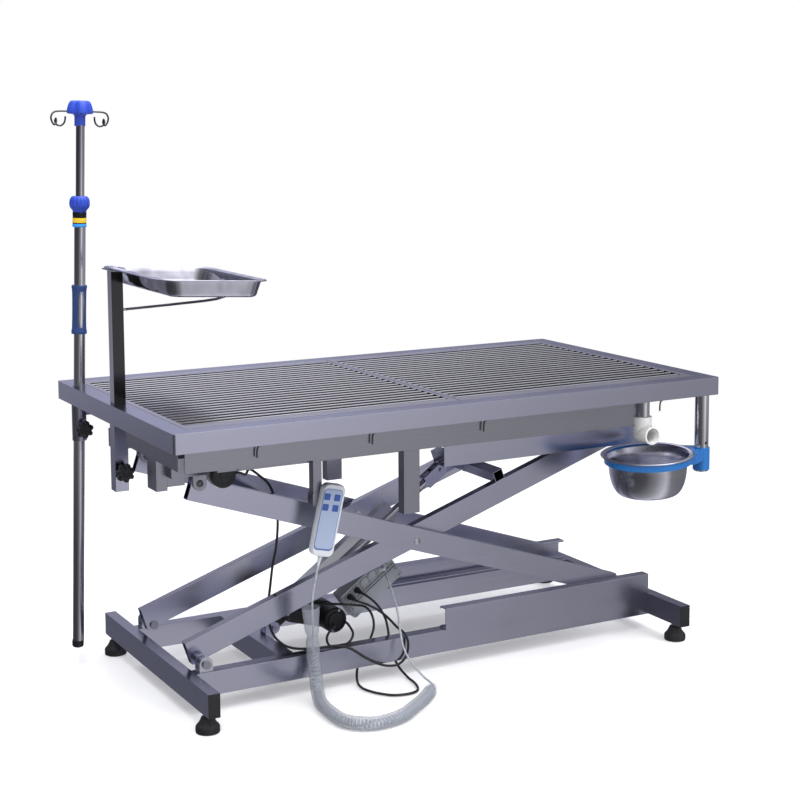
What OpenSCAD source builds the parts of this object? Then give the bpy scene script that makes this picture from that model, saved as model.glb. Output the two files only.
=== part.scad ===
/* [Table top] */
// Length of the top frame
top_l = 1320; // [1300:5:1400]
// Width of the top frame
top_w = 722; // [700:2:760]
// Height and width of the top frame's square tube
top_tube = 40; // [38:1:44]
// Wall of the frame tubes
tube_wall = 1.5; // [1.2:0.1:2.5]
// Rounding of the top frame's corners
corner_r = 5; // [3:1:8]
// Overlap of the aprons below the frame at the left end
apron_h = 42; // [36:1:44]
// Thickness of sheet panels
sheet_t = 1.2; // [0.8:0.1:2]

/* [Gratings] */
// Diameter of a grating bar
bar_d = 8; // [6:0.5:9]
// Distance between grating bars
bar_pitch = 26; // [18:1:36]
// Width of the grating's lip along the bars
side_lip_w = 32; // [24:1:40]
// Width of the grating's lip across the bars
end_lip_w = 11; // [8:1:16]
// Thickness of the grating's lip
lip_t = 1.5; // [1:0.1:2.5]

/* [Scissor lift] */
// Length of an arm from its pivot to its roller
arm_l = 1091; // [1070:1:1100]
// Angle of the arms at the height that is modelled
lift_deg = 20.27; // [16:0.01:24]
// Angle of the arms at the lowest height
lowest_deg = 5.2; // [5.2:0.1:8]
// Height of an arm tube
arm_h = 50; // [44:1:54]
// Thickness of an arm tube
arm_t = 20; // [16:1:22]
// Distance of the fixed pivots from the left end of the top
pivot_in = 129.5; // [125:0.5:135]
// Radius of the pivot bolts
bolt_r = 6; // [5:0.5:7]
// Radius of the lower rollers
low_roller_r = 13.7; // [12:0.1:16]
// Radius of the upper rollers
high_roller_r = 19.7; // [16:0.1:20]

/* [Base] */
// Width of the base over its cross tubes
base_w = 623; // [580:1:660]
// Thickness of the base tubes
base_tube_w = 25; // [20:1:30]
// Height of the base tubes
base_tube_h = 50; // [40:1:56]
// Height of the base tubes above the floor
base_z = 40; // [36:1:60]
// Distance over the outer faces of the long rails
rail_span = 374; // [360:2:390]
// Radius of a foot pad
foot_r = 25; // [20:1:30]

/* [Posts] */
// Radius of the drip stand's lower tube
stand_r = 12.5; // [10:0.5:13]
// Radius of the drip stand's upper tube
stand_top_r = 9.5; // [7:0.5:10]
// Lean of the drip stand in its socket
stand_lean = 1.85; // [0:0.05:1.9]
// Height of the drip stand's top above the table top
stand_h = 632; // [600:1:640]
// Width of the instrument tray's square post
post_w = 25; // [20:1:26]
// Height of the instrument tray's rim above the table top
tray_up = 288; // [250:1:320]
// Length of the instrument tray
tray_l = 343; // [300:1:360]
// Width of the instrument tray
tray_w = 244; // [220:1:260]
// Depth of the instrument tray
tray_d = 36; // [25:1:45]
// Radius of the bowl's post
bowl_post_r = 16; // [12:0.5:18]
// Radius of the bowl's rim
bowl_r = 105; // [95:1:112]
// Depth of the bowl
bowl_d = 92; // [70:1:100]

/* [Drive and handset] */
// Radius of the drive's sliding rod
rod_r = 10; // [8:0.5:11]
// Radius of the drive's outer tube
drive_tube_r = 15; // [13:0.5:17]
// Radius of the drive's motor
motor_r = 28; // [24:1:30]
// Width of the handset
handset_w = 52; // [48:1:56]
// Length of the handset
handset_l = 155; // [140:1:158]
// Thickness of the handset
handset_t = 21; // [18:1:24]
// Side of a handset button
button_w = 14; // [12:0.5:16]
// Diameter of the black cables
cable_d = 5.5; // [4:0.5:6.5]
// Diameter of the handset's cable
lead_d = 4.5; // [3:0.5:5]
// Outer diameter of the curly cord
curl_d = 18; // [16:1:20]
// Number of curls in the curly cord
curl_n = 66; // [40:1:70]

/* [Hidden] */

// Number of facets on round shapes
$fn = 48;
// Clearance between pieces that move past each other
gap = 0.3;
// Clearance of a pin in its bore
fit = 0.05;
// Overrun of every cut
over = 1;
// Depth by which welded pieces sink into each other
weld = 1;

// Heights of the base
rail_top = base_z + base_tube_h;
rail_w = 30;
rail_out = rail_span / 2;
rail_in = rail_out - rail_w;

// Roller channels
channel_t = 2;
channel_d = 25;
channel_lip = 5;
low_channel_h = 49;
high_channel_h = 46;
channel_out = rail_out + 3 * gap + channel_t;
channel_in = channel_out - channel_d;

// Heights of the pivots and rollers
low_z = rail_top + channel_t + gap + low_roller_r;
high_z = low_z + arm_l * sin(lift_deg);
high_channel_top = high_z + high_roller_r + gap + channel_t;
high_channel_bottom = high_channel_top - high_channel_h;

// Arms: the outer pair runs beside the channels and the inner pair beside it
arm_gap = 2;
arm_wall = 2;
outer_y1 = channel_in - weld;
outer_y0 = outer_y1 - arm_t;
inner_y1 = outer_y0 - arm_gap;
inner_y0 = inner_y1 - arm_t;
low_drop = 20;
high_drop = 14;
arm_end = 16;
arm_tilt = atan((low_drop + high_drop) / arm_l);
eye_r = 14;
eye_inset = 0.25;
axle_r = 8;
roller_y0 = channel_in + 3.5;
roller_y1 = channel_out - channel_t - 1.5;

pivot_x = pivot_in - top_l / 2;
roller_x = pivot_x + arm_l * cos(lift_deg);
far_roller_x = pivot_x + arm_l * cos(lowest_deg);

// Ends of the channels and of the base
channel_run = 41;
low_channel_l = 559;
high_channel_l = 555;
low_channel_x1 = far_roller_x + channel_run;
high_channel_x1 = low_channel_x1 - 7;
base_left_run = 48.5;
base_x0 = pivot_x - base_left_run;
base_x1 = low_channel_x1 + 3 + base_tube_w;
end_cap_t = 2;

// Middle cross tube of the base, which carries the drive
mid_in = 173.5;
mid_w = 36;
mid_x0 = pivot_x + mid_in;
mid_x1 = mid_x0 + mid_w;

// Subframe and top
under_rail_h = 40;
under_rail_w = 50;
cross_h = 46;
cross_w = 40;
under_rail_z0 = high_channel_top;
cross_z0 = under_rail_z0 + under_rail_h;
frame_z0 = cross_z0 + cross_h;
top_z = frame_z0 + top_tube;
under_rail_y1 = channel_out;
under_rail_y0 = under_rail_y1 - under_rail_w;

// Aprons, set back from the frame's edges
apron_in = 14;
apron_right_x = top_l / 2 - 226;
left_apron_end = -50;
apron_slope_h = 11;
apron_y = top_w / 2 - apron_in;
apron_x0 = apron_in + 1 - top_l / 2;

// Grating panels, which lie on ledges inside the frame
ledge_w = 10;
ledge_t = 3;
grating_h = 21;
panel_play = 1;
ledge_z = top_z - grating_h - gap;
panel_x1 = top_l / 2 - top_tube - panel_play;
panel_y1 = top_w / 2 - top_tube - panel_play;
bar_n = floor((2 * (panel_y1 - side_lip_w)) / bar_pitch);
bar_step = 2 * (panel_y1 - side_lip_w) / bar_n;

// Drip tray and drain
pan_h = 13;
pan_play = 1;
pan_x1 = top_l / 2 - top_tube - pan_play;
pan_y1 = top_w / 2 - top_tube - pan_play;
drain_x = top_l / 2 - 169;
drain_y = 21 - pan_y1;
drain_r = 16;
drain_wall = 2;
drain_h = 62;
elbow_r = 21;
elbow_drop = 83;
elbow_out = 39;
elbow_socket = 44.4;

// Drip stand, in its own frame that leans from the table top
stand_x = 19 - top_l / 2;
stand_y = 262;
stand_sleeve_h = 81;
stand_sleeve_r = 16;
stand_sleeve_bore = stand_r + 1.8;
stand_sleeve_mid = top_tube + stand_sleeve_h / 2;
stand_sleeve_x = stand_x - stand_sleeve_mid * tan(stand_lean);
stand_tip = 596;
stand_tip_h = 17;
stand_tube_top = 355;
stand_band_z = 355;
stand_band_h = 32;
stand_band_r = 15.5;
collar_h = 36;
collar_r = 22.5;
collar_z = stand_band_z + stand_band_h + gap;
grip_z = 118;
grip_h = 108;
grip_r = 17;
stand_inner_z = 120;
head_h = 30;
head_r = 29;
head_neck_r = 12;
head_neck_h = 26;
hook_wire_r = 2;
hook_reach = 66;
knob_r = 20;
knob_h = 17;
knob_out = 24;
knob_stem_r = 4;

// Instrument tray and its post
post_x = 20 - top_l / 2;
post_y = 8;
post_wall = 1.5;
post_play = 0.5;
post_sleeve_w = post_w + 2 * post_wall + 2 * post_play;
post_cap_t = 2.3;
post_sleeve_h = 144;
post_cap_h = 4;
post_bottom = 122;
tray_sag = 3.5;
tray_x = post_x - 16;
tray_y = -285;
tray_flange_w = 12;
tray_left_w = 31;
tray_wall_in = 8;
tray_r = 38;
tray_t = 1.2;
carrier_t = 3;
carrier_w = 66;
post_top = top_z + tray_up - 2 * carrier_t - post_cap_t;
wire_r = 3;

// Bowl and its holder
bowl_post_x = top_l / 2 - 33;
bowl_post_y = 20 - top_w / 2;
bowl_post_l = 176.4;
holder_h = 51;
holder_lift = 3.4;
holder_wall = 3;
holder_ring_h = 16;
holder_ring_t = 4.5;
bowl_off_x = 134.5;
bowl_off_y = 21.2;
bowl_droop = -2.96;
bowl_roll = 1.02;
bowl_t = 1;
bowl_foot_r = 60;
bowl_wall_r = 88;
bowl_neck_r = 94.5;
bowl_turn_share = 0.74;
bowl_x = bowl_post_x - bowl_off_x;
bowl_y = bowl_post_y + bowl_off_y;
post_low_z = frame_z0 - bowl_post_l;
holder_z0 = post_low_z + holder_lift;
holder_z1 = holder_z0 + holder_h;
ring_z1 = holder_z1;
bowl_rim_z = ring_z1 + gap;

// Drive: pivots in the base and in the push bracket of the inner arms
drive_pivot_up = 10;
drive_pivot_out = 21;
drive_x = mid_x1 + drive_pivot_out;
drive_z = rail_top + drive_pivot_up;
push_along = 725;
push_above = 54;
push_tube = 25;
push_tube_along = push_along + 60;
push_x = pivot_x + push_along * cos(lift_deg) - push_above * sin(lift_deg);
push_z = low_z + push_along * sin(lift_deg) + push_above * cos(lift_deg);
drive_l = norm([push_x - drive_x, push_z - drive_z]);
drive_deg = atan2(push_z - drive_z, push_x - drive_x);
drive_eye_r = 12;
drive_eye_y = 10;
drive_pin_r = 5;
cheek_t = 4;
drive_start = 40;
tube_l = 380;
rod_hidden = 150;
clevis_l = 46;
clevis_r = 15;
clevis_y0 = 6.5;
clevis_y1 = 12;
tongue_y = 5.5;
housing_y0 = -18;
housing_y1 = 26;
motor_s = 109;
motor_n = -63;
motor_y0 = -74;
box_s0 = 150;
box_s1 = 300;
box_n0 = -102;
box_n1 = -34;
box_y0 = -62;
box_y1 = -22;
plug_r = 7;
plug_l = 22;
plug_n = -50;
plug_s = [169, 191, 265];

// Handset and the hanger that holds it
hanger_x = pivot_x + 238.5;
hanger_w = 20;
hanger_y0 = -205;
hanger_z = 441;
clip_w = 25;
handset_x = hanger_x + 26;
handset_z = 386;
handset_back = hanger_y0 - 3.5;
handset_lean = 13;
handset_r = 14;
button_rise = 1.5;
button_pocket = 3;
button_dx = 23.5;
button_dz = 22.5;
button_up = 49.5;
button_shift = 3.5;
relief_l = 22;
relief_r = 5;

// Box that holds the whole table, without its cords
origin_x = (top_l / 2 + stand_x - 58) / 2;
origin_y = (top_w / 2 + bowl_y - bowl_r) / 2;

// Everything is drawn about the middle of the top and then moved to the origin
module placed() {
    translate([-origin_x, -origin_y, 0]) children();
}

// A block between two corners
module block(p, q) {
    translate(p) cube([q[0] - p[0], q[1] - p[1], q[2] - p[2]]);
}

// A round bar along Y between two places
module bar_y(x, z, r, y0, y1) {
    translate([x, y0, z]) rotate([-90, 0, 0]) cylinder(r = r, h = y1 - y0);
}

// A round bar along Z between two heights
module bar_z(x, y, r, z0, z1) {
    translate([x, y, z0]) cylinder(r = r, h = z1 - z0);
}

module both_sides() {
    children();
    mirror([0, 1, 0]) children();
}

// A slab with four round corners
module round_slab(l, w, h, r) {
    translate([r, 0, 0]) cube([l - 2 * r, w, h]);
    translate([0, r, 0]) cube([l, w - 2 * r, h]);
    for (x = [r, l - r], y = [r, w - r]) translate([x, y, 0]) cylinder(r = r, h = h);
}

// Steps of a smooth route through points chosen by hand
function mixed(a, b, c, d, t) = 0.5 * (2 * b + (c - a) * t
    + (2 * a - 5 * b + 4 * c - d) * t * t + (3 * b - a - 3 * c + d) * t * t * t);
function knot(p, i) = p[max(0, min(len(p) - 1, i))];
function route(p, steps) = [
    for (i = [0:len(p) - 2], k = [0:steps - 1])
        mixed(knot(p, i - 1), p[i], p[i + 1], knot(p, i + 2), k / steps),
    p[len(p) - 1]
];
function lengths(p, i = 0, sum = 0, out = []) =
    i >= len(p) ? out
    : lengths(p, i + 1, i + 1 < len(p) ? sum + norm(p[i + 1] - p[i]) : sum, concat(out, [sum]));
function place(p, d, s, i = 1) =
    i >= len(p) - 1 || d[i] >= s
        ? p[i - 1] + (p[i] - p[i - 1]) * (s - d[i - 1]) / (d[i] - d[i - 1])
        : place(p, d, s, i + 1);
function unit(v) = v / norm(v);
function heading(p, i) =
    i == 0 ? unit(p[1] - p[0])
    : i == len(p) - 1 ? unit(p[i] - p[i - 1])
    : unit(unit(p[i + 1] - p[i]) + unit(p[i] - p[i - 1]));
// A side direction that turns as little as it can along the route
function sides_of(p, i = 0, last = [0.3, 0.5, 0.8], out = []) =
    i >= len(p) ? out
    : let (t = heading(p, i), v = unit(last - t * (last * t)))
        sides_of(p, i + 1, v, concat(out, [v]));
// A ring of points about each step of a route
function rings(p, r, n) = let (u = sides_of(p)) [
    for (i = [0:len(p) - 1], k = [0:n - 1])
        let (t = heading(p, i), w = cross(t, u[i]), a = 360 * k / n)
            p[i] + r * (u[i] * cos(a) + w * sin(a))
];
function skin(count, n, first = 0, flip = false) = [
    for (i = [0:count - 2], k = [0:n - 1])
        let (a = first + i * n + k, b = first + i * n + (k + 1) % n)
            each (flip
                ? [[a, b, a + n], [b, b + n, a + n]]
                : [[a, a + n, b], [b, a + n, b + n]])
];
// A round wire along a route
module wire(p, r, n = 8) {
    count = len(p);
    faces = concat(
        skin(count, n),
        [for (k = [1:n - 2]) [0, k, k + 1]],
        [for (k = [1:n - 2]) let (z = (count - 1) * n) [z, z + k + 1, z + k]]
    );
    polyhedron(points = rings(p, r, n), faces = faces, convexity = 10);
}

// Base
module base_outer() {
    end_y = base_w / 2 - end_cap_t;
    block([base_x0, -end_y, base_z], [base_x0 + base_tube_w, end_y, rail_top]);
    block([base_x1 - base_tube_w, -end_y, base_z], [base_x1, end_y, rail_top]);
    both_sides() block([base_x0 + base_tube_w, rail_in, base_z], [base_x1 - base_tube_w, rail_out, rail_top]);
    block([mid_x0, -rail_in, base_z], [mid_x1, rail_in, rail_top]);
    both_sides() {
        block([mid_x1, drive_eye_y + gap, rail_top - 2 * drive_pivot_up],
            [drive_x, drive_eye_y + gap + cheek_t, drive_z + eye_r]);
        bar_y(drive_x, drive_z, eye_r, drive_eye_y + gap, drive_eye_y + gap + cheek_t);
    }
}

module base_inner() {
    w = tube_wall;
    far = base_w;
    block([base_x0 + w, -far, base_z + w], [base_x0 + base_tube_w - w, far, rail_top - w]);
    block([base_x1 - base_tube_w + w, -far, base_z + w], [base_x1 - w, far, rail_top - w]);
    both_sides() block([base_x0 + base_tube_w - 2 * w, rail_in + w, base_z + w],
        [base_x1 - base_tube_w + 2 * w, rail_out - w, rail_top - w]);
    block([mid_x0 + w, -rail_in - 2 * w, base_z + w], [mid_x1 - w, rail_in + 2 * w, rail_top - w]);
}

foot_in = 35;
foot_places = [
    for (x = [base_x0 + base_tube_w / 2, base_x1 - base_tube_w / 2], y = [foot_in - base_w / 2, base_w / 2 - foot_in])
        [x, y]
];
stud_r = 6;
stud_top = base_z + base_tube_h / 2;
pad_h = base_z - 6;
pad_socket = 14;

module base_frame() {
    color("silver") placed() difference() {
        base_outer();
        base_inner();
        for (p = foot_places) bar_z(p[0], p[1], stud_r + fit, base_z - over, base_z + tube_wall + over);
        bar_y(drive_x, drive_z, drive_pin_r + fit, -rail_in / 2, rail_in / 2);
    }
}

module base_end_caps() {
    plug = 12;
    c = tube_wall + gap;
    color("black") placed() both_sides() for (x = [base_x0, base_x1 - base_tube_w]) {
        block([x, base_w / 2 - end_cap_t, base_z], [x + base_tube_w, base_w / 2, rail_top]);
        block([x + c, base_w / 2 - end_cap_t - plug, base_z + c], [x + base_tube_w - c, base_w / 2, rail_top - c]);
    }
}

// A roller channel from its outer bottom edge, open towards the middle
module channel(x0, l, z0, h) {
    d = channel_d;
    t = channel_t;
    q = channel_lip;
    both_sides() translate([x0, channel_out, z0]) rotate([90, 0, 90]) linear_extrude(l) polygon([
        [0, 0], [0, h], [-d, h], [-d, h - q], [t - d, h - q], [t - d, h - t], [-t, h - t],
        [-t, t], [t - d, t], [t - d, q], [-d, q], [-d, 0]
    ]);
}

module lower_channels() {
    color("silver") placed() channel(low_channel_x1 - low_channel_l, low_channel_l, rail_top, low_channel_h);
}

// A pivot lug: two round-ended cheeks and what joins them
lug_w = 2 * eye_r + 2;
lug_t = 3;
lug_in = rail_in + 0.5;
lug_out = rail_out - 4;

module lower_lugs() {
    color("gainsboro") placed() both_sides() difference() {
        union() {
            block([pivot_x - lug_w / 2, lug_in, rail_top], [pivot_x + lug_w / 2, lug_out, rail_top + lug_t]);
            for (y = [lug_in, lug_out - lug_t]) {
                block([pivot_x - lug_w / 2, y, rail_top], [pivot_x + lug_w / 2, y + lug_t, low_z]);
                bar_y(pivot_x, low_z, lug_w / 2, y, y + lug_t);
            }
        }
        block([pivot_x - lug_w, lug_in - over, -rail_top], [pivot_x + lug_w, lug_out + over, rail_top]);
        bar_y(pivot_x, low_z, bolt_r + fit, lug_in - over, lug_out + over);
    }
}

nut_h = 4.5;
head_y = 5;
bush_r = 9;

module lower_bolts() {
    color("dimgray") placed() {
        both_sides() {
            bar_y(pivot_x, low_z, bolt_r, inner_y0 - gap - nut_h, lug_out + weld);
            bar_y(pivot_x, low_z, bush_r, inner_y1 + gap, lug_in);
            bar_y(pivot_x, low_z, bush_r, inner_y0 - gap - nut_h, inner_y0 - gap);
            bar_y(pivot_x, low_z, bush_r, lug_out, lug_out + head_y);
        }
        bar_y(drive_x, drive_z, drive_pin_r, -drive_eye_y - cheek_t - nut_h, drive_eye_y + cheek_t + nut_h);
    }
}

module foot_studs() {
    color("silver") placed() for (p = foot_places) {
        bar_z(p[0], p[1], stud_r, pad_h - pad_socket, stud_top);
        bar_z(p[0], p[1], 2 * stud_r - 1, base_z - nut_h, base_z);
    }
}

module foot_pad(i) {
    neck_r = foot_r / 2;
    waist = pad_h * 0.45;
    color("black") placed() translate([foot_places[i][0], foot_places[i][1], 0]) difference() {
        rotate_extrude() polygon([
            [0, 0], [foot_r - 1.5, 0], [foot_r, 2], [foot_r, waist - 1], [foot_r - 1, waist],
            [neck_r + 2, pad_h - 6], [neck_r, pad_h - gap], [0, pad_h - gap]
        ]);
        translate([0, 0, pad_h - pad_socket - 1]) cylinder(r = stud_r + fit, h = pad_h);
    }
}
module foot_pad_1() { foot_pad(0); }
module foot_pad_2() { foot_pad(1); }
module foot_pad_3() { foot_pad(2); }
module foot_pad_4() { foot_pad(3); }

// Frames of the two arm pairs: along the line from pivot to roller, and above it
module on_inner() {
    translate([pivot_x, 0, low_z]) rotate([0, -lift_deg, 0]) children();
}
module on_outer() {
    translate([pivot_x, 0, high_z]) rotate([0, lift_deg, 0]) children();
}

// One arm tube of a pair, with the offsets of its axis at the pivot and at the roller
module arm_tube(y0, y1, start, finish) {
    turn = atan((start - finish) / arm_l);
    l = arm_l / cos(turn) + arm_end;
    difference() {
        union() {
            translate([0, 0, start]) rotate([0, turn, 0]) difference() {
                block([-arm_end, y0, -arm_h / 2], [l, y1, arm_h / 2]);
                block([-arm_end - over, y0 + arm_wall, arm_wall - arm_h / 2],
                    [l + over, y1 - arm_wall, arm_h / 2 - arm_wall]);
            }
            bar_y(0, 0, eye_r, y0 + eye_inset, y1 - eye_inset);
            bar_y(arm_l / 2, 0, eye_r, y0 + arm_wall / 2, y1 - arm_wall / 2);
            bar_y(arm_l, 0, axle_r + 2, y0 + arm_wall / 2, y1 - arm_wall / 2);
        }
        bar_y(0, 0, bolt_r + fit, y0 - over, y1 + over);
        bar_y(arm_l / 2, 0, bolt_r + fit, y0 - over, y1 + over);
    }
}

module inner_arms() {
    top_n = low_drop - push_tube_along * tan(arm_tilt) + arm_h / 2 - weld;
    color("silver") placed() on_inner() {
        both_sides() {
            arm_tube(inner_y0, inner_y1, low_drop, -high_drop);
            bar_y(arm_l, 0, axle_r, inner_y0 + arm_wall, channel_out - channel_t - weld);
        }
        difference() {
            block([push_tube_along, -inner_y1, top_n], [push_tube_along + push_tube, inner_y1, top_n + push_tube]);
            block([push_tube_along + tube_wall, -inner_y1 - over, top_n + tube_wall],
                [push_tube_along + push_tube - tube_wall, inner_y1 + over, top_n + push_tube - tube_wall]);
        }
        block([push_along, -tongue_y, push_above - clevis_r], [push_tube_along + weld, tongue_y, push_above + clevis_r]);
        block([push_tube_along - weld, -tongue_y, top_n], [push_tube_along + weld, tongue_y, push_above + clevis_r]);
        bar_y(push_along, push_above, clevis_r, -tongue_y, tongue_y);
    }
}

tie_along = 215;
tie_h = 22;

module outer_arms() {
    tie_n = -high_drop - tie_along * tan(-arm_tilt) - tie_h / 2;
    color("silver") placed() on_outer() {
        both_sides() {
            arm_tube(outer_y0, outer_y1, -high_drop, low_drop);
            bar_y(arm_l, 0, axle_r, outer_y0 + arm_wall, channel_out - channel_t - weld);
        }
        difference() {
            block([tie_along, -outer_y0 - weld, tie_n], [tie_along + tie_h, outer_y0 + weld, tie_n + tie_h]);
            block([tie_along + tube_wall, -outer_y0 - 2 * over, tie_n + tube_wall],
                [tie_along + tie_h - tube_wall, outer_y0 + 2 * over, tie_n + tie_h - tube_wall]);
        }
    }
}

module cross_bolts() {
    x = pivot_x + arm_l / 2 * cos(lift_deg);
    z = (low_z + high_z) / 2;
    color("dimgray") placed() both_sides() {
        bar_y(x, z, bolt_r, inner_y0 - gap - nut_h, outer_y1 + weld);
        bar_y(x, z, bush_r, outer_y1, outer_y1 + head_y);
        bar_y(x, z, bush_r, inner_y1 + gap, outer_y0);
        bar_y(x, z, bush_r, inner_y0 - gap - nut_h, inner_y0 - gap);
    }
}

module roller_pair(z, r) {
    color("darkslategray") placed() both_sides() difference() {
        bar_y(roller_x, z, r, roller_y0, roller_y1);
        bar_y(roller_x, z, axle_r + fit, roller_y0 - over, roller_y1 + over);
    }
}
module lower_rollers() { roller_pair(low_z, low_roller_r); }
module upper_rollers() { roller_pair(high_z, high_roller_r); }

// Top frame
stand_hole_r = stand_r + 2;
module top_frame() {
    l = top_l;
    w = top_w;
    t = top_tube;
    s = tube_wall;
    color("silver") placed() translate([-l / 2, -w / 2, frame_z0]) difference() {
        union() {
            difference() {
                round_slab(l, w, t, corner_r);
                block([t, t, -over], [l - t, w - t, t + over]);
                difference() {
                    block([s, s, s], [l - s, w - s, t - s]);
                    block([t - s, t - s, 0], [l - t + s, w - t + s, t]);
                }
            }
            difference() {
                block([t - s, t - s, ledge_z - frame_z0 - ledge_t], [l - t + s, w - t + s, ledge_z - frame_z0]);
                block([t + ledge_w, t + ledge_w, 0], [l - t - ledge_w, w - t - ledge_w, t]);
            }
        }
        bar_z(stand_x + l / 2 - t / 2 * tan(stand_lean), stand_y + w / 2, stand_hole_r, -over, t + over);
        translate([post_x + l / 2, post_y + w / 2, t / 2])
            cube([post_w + 2 * post_play, post_w + 2 * post_play, t + 2 * over], center = true);
    }
}

stop_x = pivot_x + 458.5;
stop_w = 39;
stop_t = 25;
stop_out = 10;
stop_l = 222.5;
hanger_left_w = 24;
hanger_left_x = 36 - top_l / 2;
hanger_left_z = 477;
hanger_left_y = 115;
strut_end = pivot_x - 31.5;
lug_gap = 0.5;
lug_shift = 4.5;

module subframe() {
    right_x = high_channel_x1;
    y1 = under_rail_y1;
    color("silver") placed() difference() {
        union() {
            both_sides() {
                block([hanger_left_x + hanger_left_w - weld, under_rail_y0, under_rail_z0], [right_x, y1, cross_z0]);
                block([stop_x, y1 + stop_out - stop_t, frame_z0 - stop_l], [stop_x + stop_w, y1 + stop_out, frame_z0]);
                for (y = [outer_y0 - lug_gap - lug_t, outer_y1 + lug_gap]) {
                    block([pivot_x - lug_w / 2, y, high_z], [pivot_x + lug_w / 2, y + lug_t, under_rail_z0 + weld]);
                    bar_y(pivot_x, high_z, lug_w / 2, y, y + lug_t);
                }
            }
            block([hanger_left_x, -hanger_left_y - under_rail_w, hanger_left_z],
                [hanger_left_x + hanger_left_w, -hanger_left_y, frame_z0]);
            block([hanger_left_x + hanger_left_w - weld, lug_gap - outer_y1, high_z],
                [strut_end, lug_gap - outer_y0, under_rail_z0 + weld]);
            for (x = [pivot_x - lug_w - lug_shift, stop_x, apron_right_x - cross_w - sheet_t])
                block([x, sheet_t - apron_y, cross_z0 - weld], [x + cross_w, apron_y - sheet_t, frame_z0]);
            block([right_x - cross_w, -y1, under_rail_z0], [right_x, y1, cross_z0]);
            block([hanger_x, hanger_y0, hanger_z], [hanger_x + hanger_w, hanger_y0 + hanger_w, frame_z0]);
            block([hanger_x - 2, hanger_y0 - 2, hanger_z - clip_w],
                [hanger_x - 2 + clip_w, hanger_y0 - 2 + clip_w, hanger_z + weld]);
        }
        both_sides() {
            bar_y(pivot_x, high_z, bolt_r + fit, outer_y0 - 2 * lug_t, outer_y1 + 2 * lug_t);
            block([hanger_left_x + hanger_left_w + tube_wall, under_rail_y0 + tube_wall, under_rail_z0 + tube_wall],
                [right_x + over, y1 - tube_wall, cross_z0 - tube_wall]);
        }
    }
}

module upper_channels() {
    color("silver") placed()
        channel(high_channel_x1 - high_channel_l, high_channel_l, high_channel_bottom, high_channel_h);
}

module upper_bolts() {
    out = outer_y1 + lug_gap + lug_t;
    inside = outer_y0 - lug_gap - lug_t;
    color("dimgray") placed() both_sides() {
        bar_y(pivot_x, high_z, bolt_r, inside - nut_h, out + weld);
        bar_y(pivot_x, high_z, bush_r, out, out + head_y);
        bar_y(pivot_x, high_z, bush_r, inside - nut_h, inside);
    }
}

module apron_panels() {
    z1 = frame_z0;
    z0 = frame_z0 - apron_h;
    x0 = apron_x0 + 12;
    x1 = apron_right_x - 2;
    color("silver") placed() {
        both_sides() translate([0, apron_y, 0]) rotate([90, 0, 0]) linear_extrude(sheet_t) polygon([
            [x0, z1], [x0, z0], [x1, z0 - apron_slope_h], [x1, z1]
        ]);
        block([apron_x0, 7 - apron_y, z0 + 4], [apron_x0 + sheet_t, left_apron_end, z1]);
        difference() {
            block([apron_right_x, -apron_y + 7, z0 - apron_slope_h], [apron_right_x + sheet_t, apron_y - 7, z1]);
            both_sides() block([apron_right_x - over, under_rail_y0 - gap, 0],
                [apron_right_x + 2 * over, under_rail_y1 + gap, cross_z0 + gap]);
        }
    }
}

module drip_tray() {
    t = sheet_t;
    color("silver") placed() difference() {
        block([-pan_x1, -pan_y1, frame_z0], [pan_x1, pan_y1, frame_z0 + pan_h]);
        block([t - pan_x1, t - pan_y1, frame_z0 + t], [pan_x1 - t, pan_y1 - t, frame_z0 + pan_h + over]);
        bar_z(drain_x, drain_y, drain_r - drain_wall, frame_z0 - over, frame_z0 + t + over);
    }
}

module drain_pipe() {
    color("silver") placed() difference() {
        bar_z(drain_x, drain_y, drain_r, frame_z0 - drain_h, frame_z0);
        bar_z(drain_x, drain_y, drain_r - drain_wall, frame_z0 - drain_h - over, frame_z0 + over);
    }
}

module drain_elbow() {
    z = frame_z0 - elbow_drop;
    bore = drain_r - drain_wall;
    color("white") placed() difference() {
        union() {
            bar_z(drain_x, drain_y, elbow_r, z, frame_z0 - elbow_socket);
            translate([drain_x, drain_y, z]) sphere(r = elbow_r);
            bar_y(drain_x, z, elbow_r - 0.5, drain_y - elbow_out, drain_y);
        }
        bar_z(drain_x, drain_y, bore, z, frame_z0);
        bar_z(drain_x, drain_y, drain_r + fit, frame_z0 - drain_h, frame_z0);
        translate([drain_x, drain_y, z]) sphere(r = bore);
        bar_y(drain_x, z, drain_r + 1, drain_y - elbow_out - over, drain_y);
    }
}

hook_xs = [-0.3674, -0.1742, 0.0265, 0.3765] * top_l;
hook_drop = 25;
hook_bend = 8;

module tie_hooks() {
    r = 2;
    z = frame_z0 - hook_bend;
    color("silver") placed() both_sides() for (x = hook_xs) {
        bar_z(x, top_w / 2 - top_tube / 2, r, z, frame_z0);
        translate([x, top_w / 2 - top_tube / 2, z]) sphere(r = r, $fn = 24);
        translate([x, top_w / 2 - top_tube / 2, z]) rotate([0, 90, 0]) cylinder(r = r, h = hook_bend);
        translate([x + hook_bend, top_w / 2 - top_tube / 2, z]) sphere(r = r, $fn = 24);
        bar_z(x + hook_bend, top_w / 2 - top_tube / 2, r, frame_z0 - hook_drop, z);
    }
}

// Sleeves that hold the posts under the frame
knob_boss_r = 8;
knob_boss_l = 6;
stand_knob_z = frame_z0 - 52;
post_knob_z = frame_z0 - 101;

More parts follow.
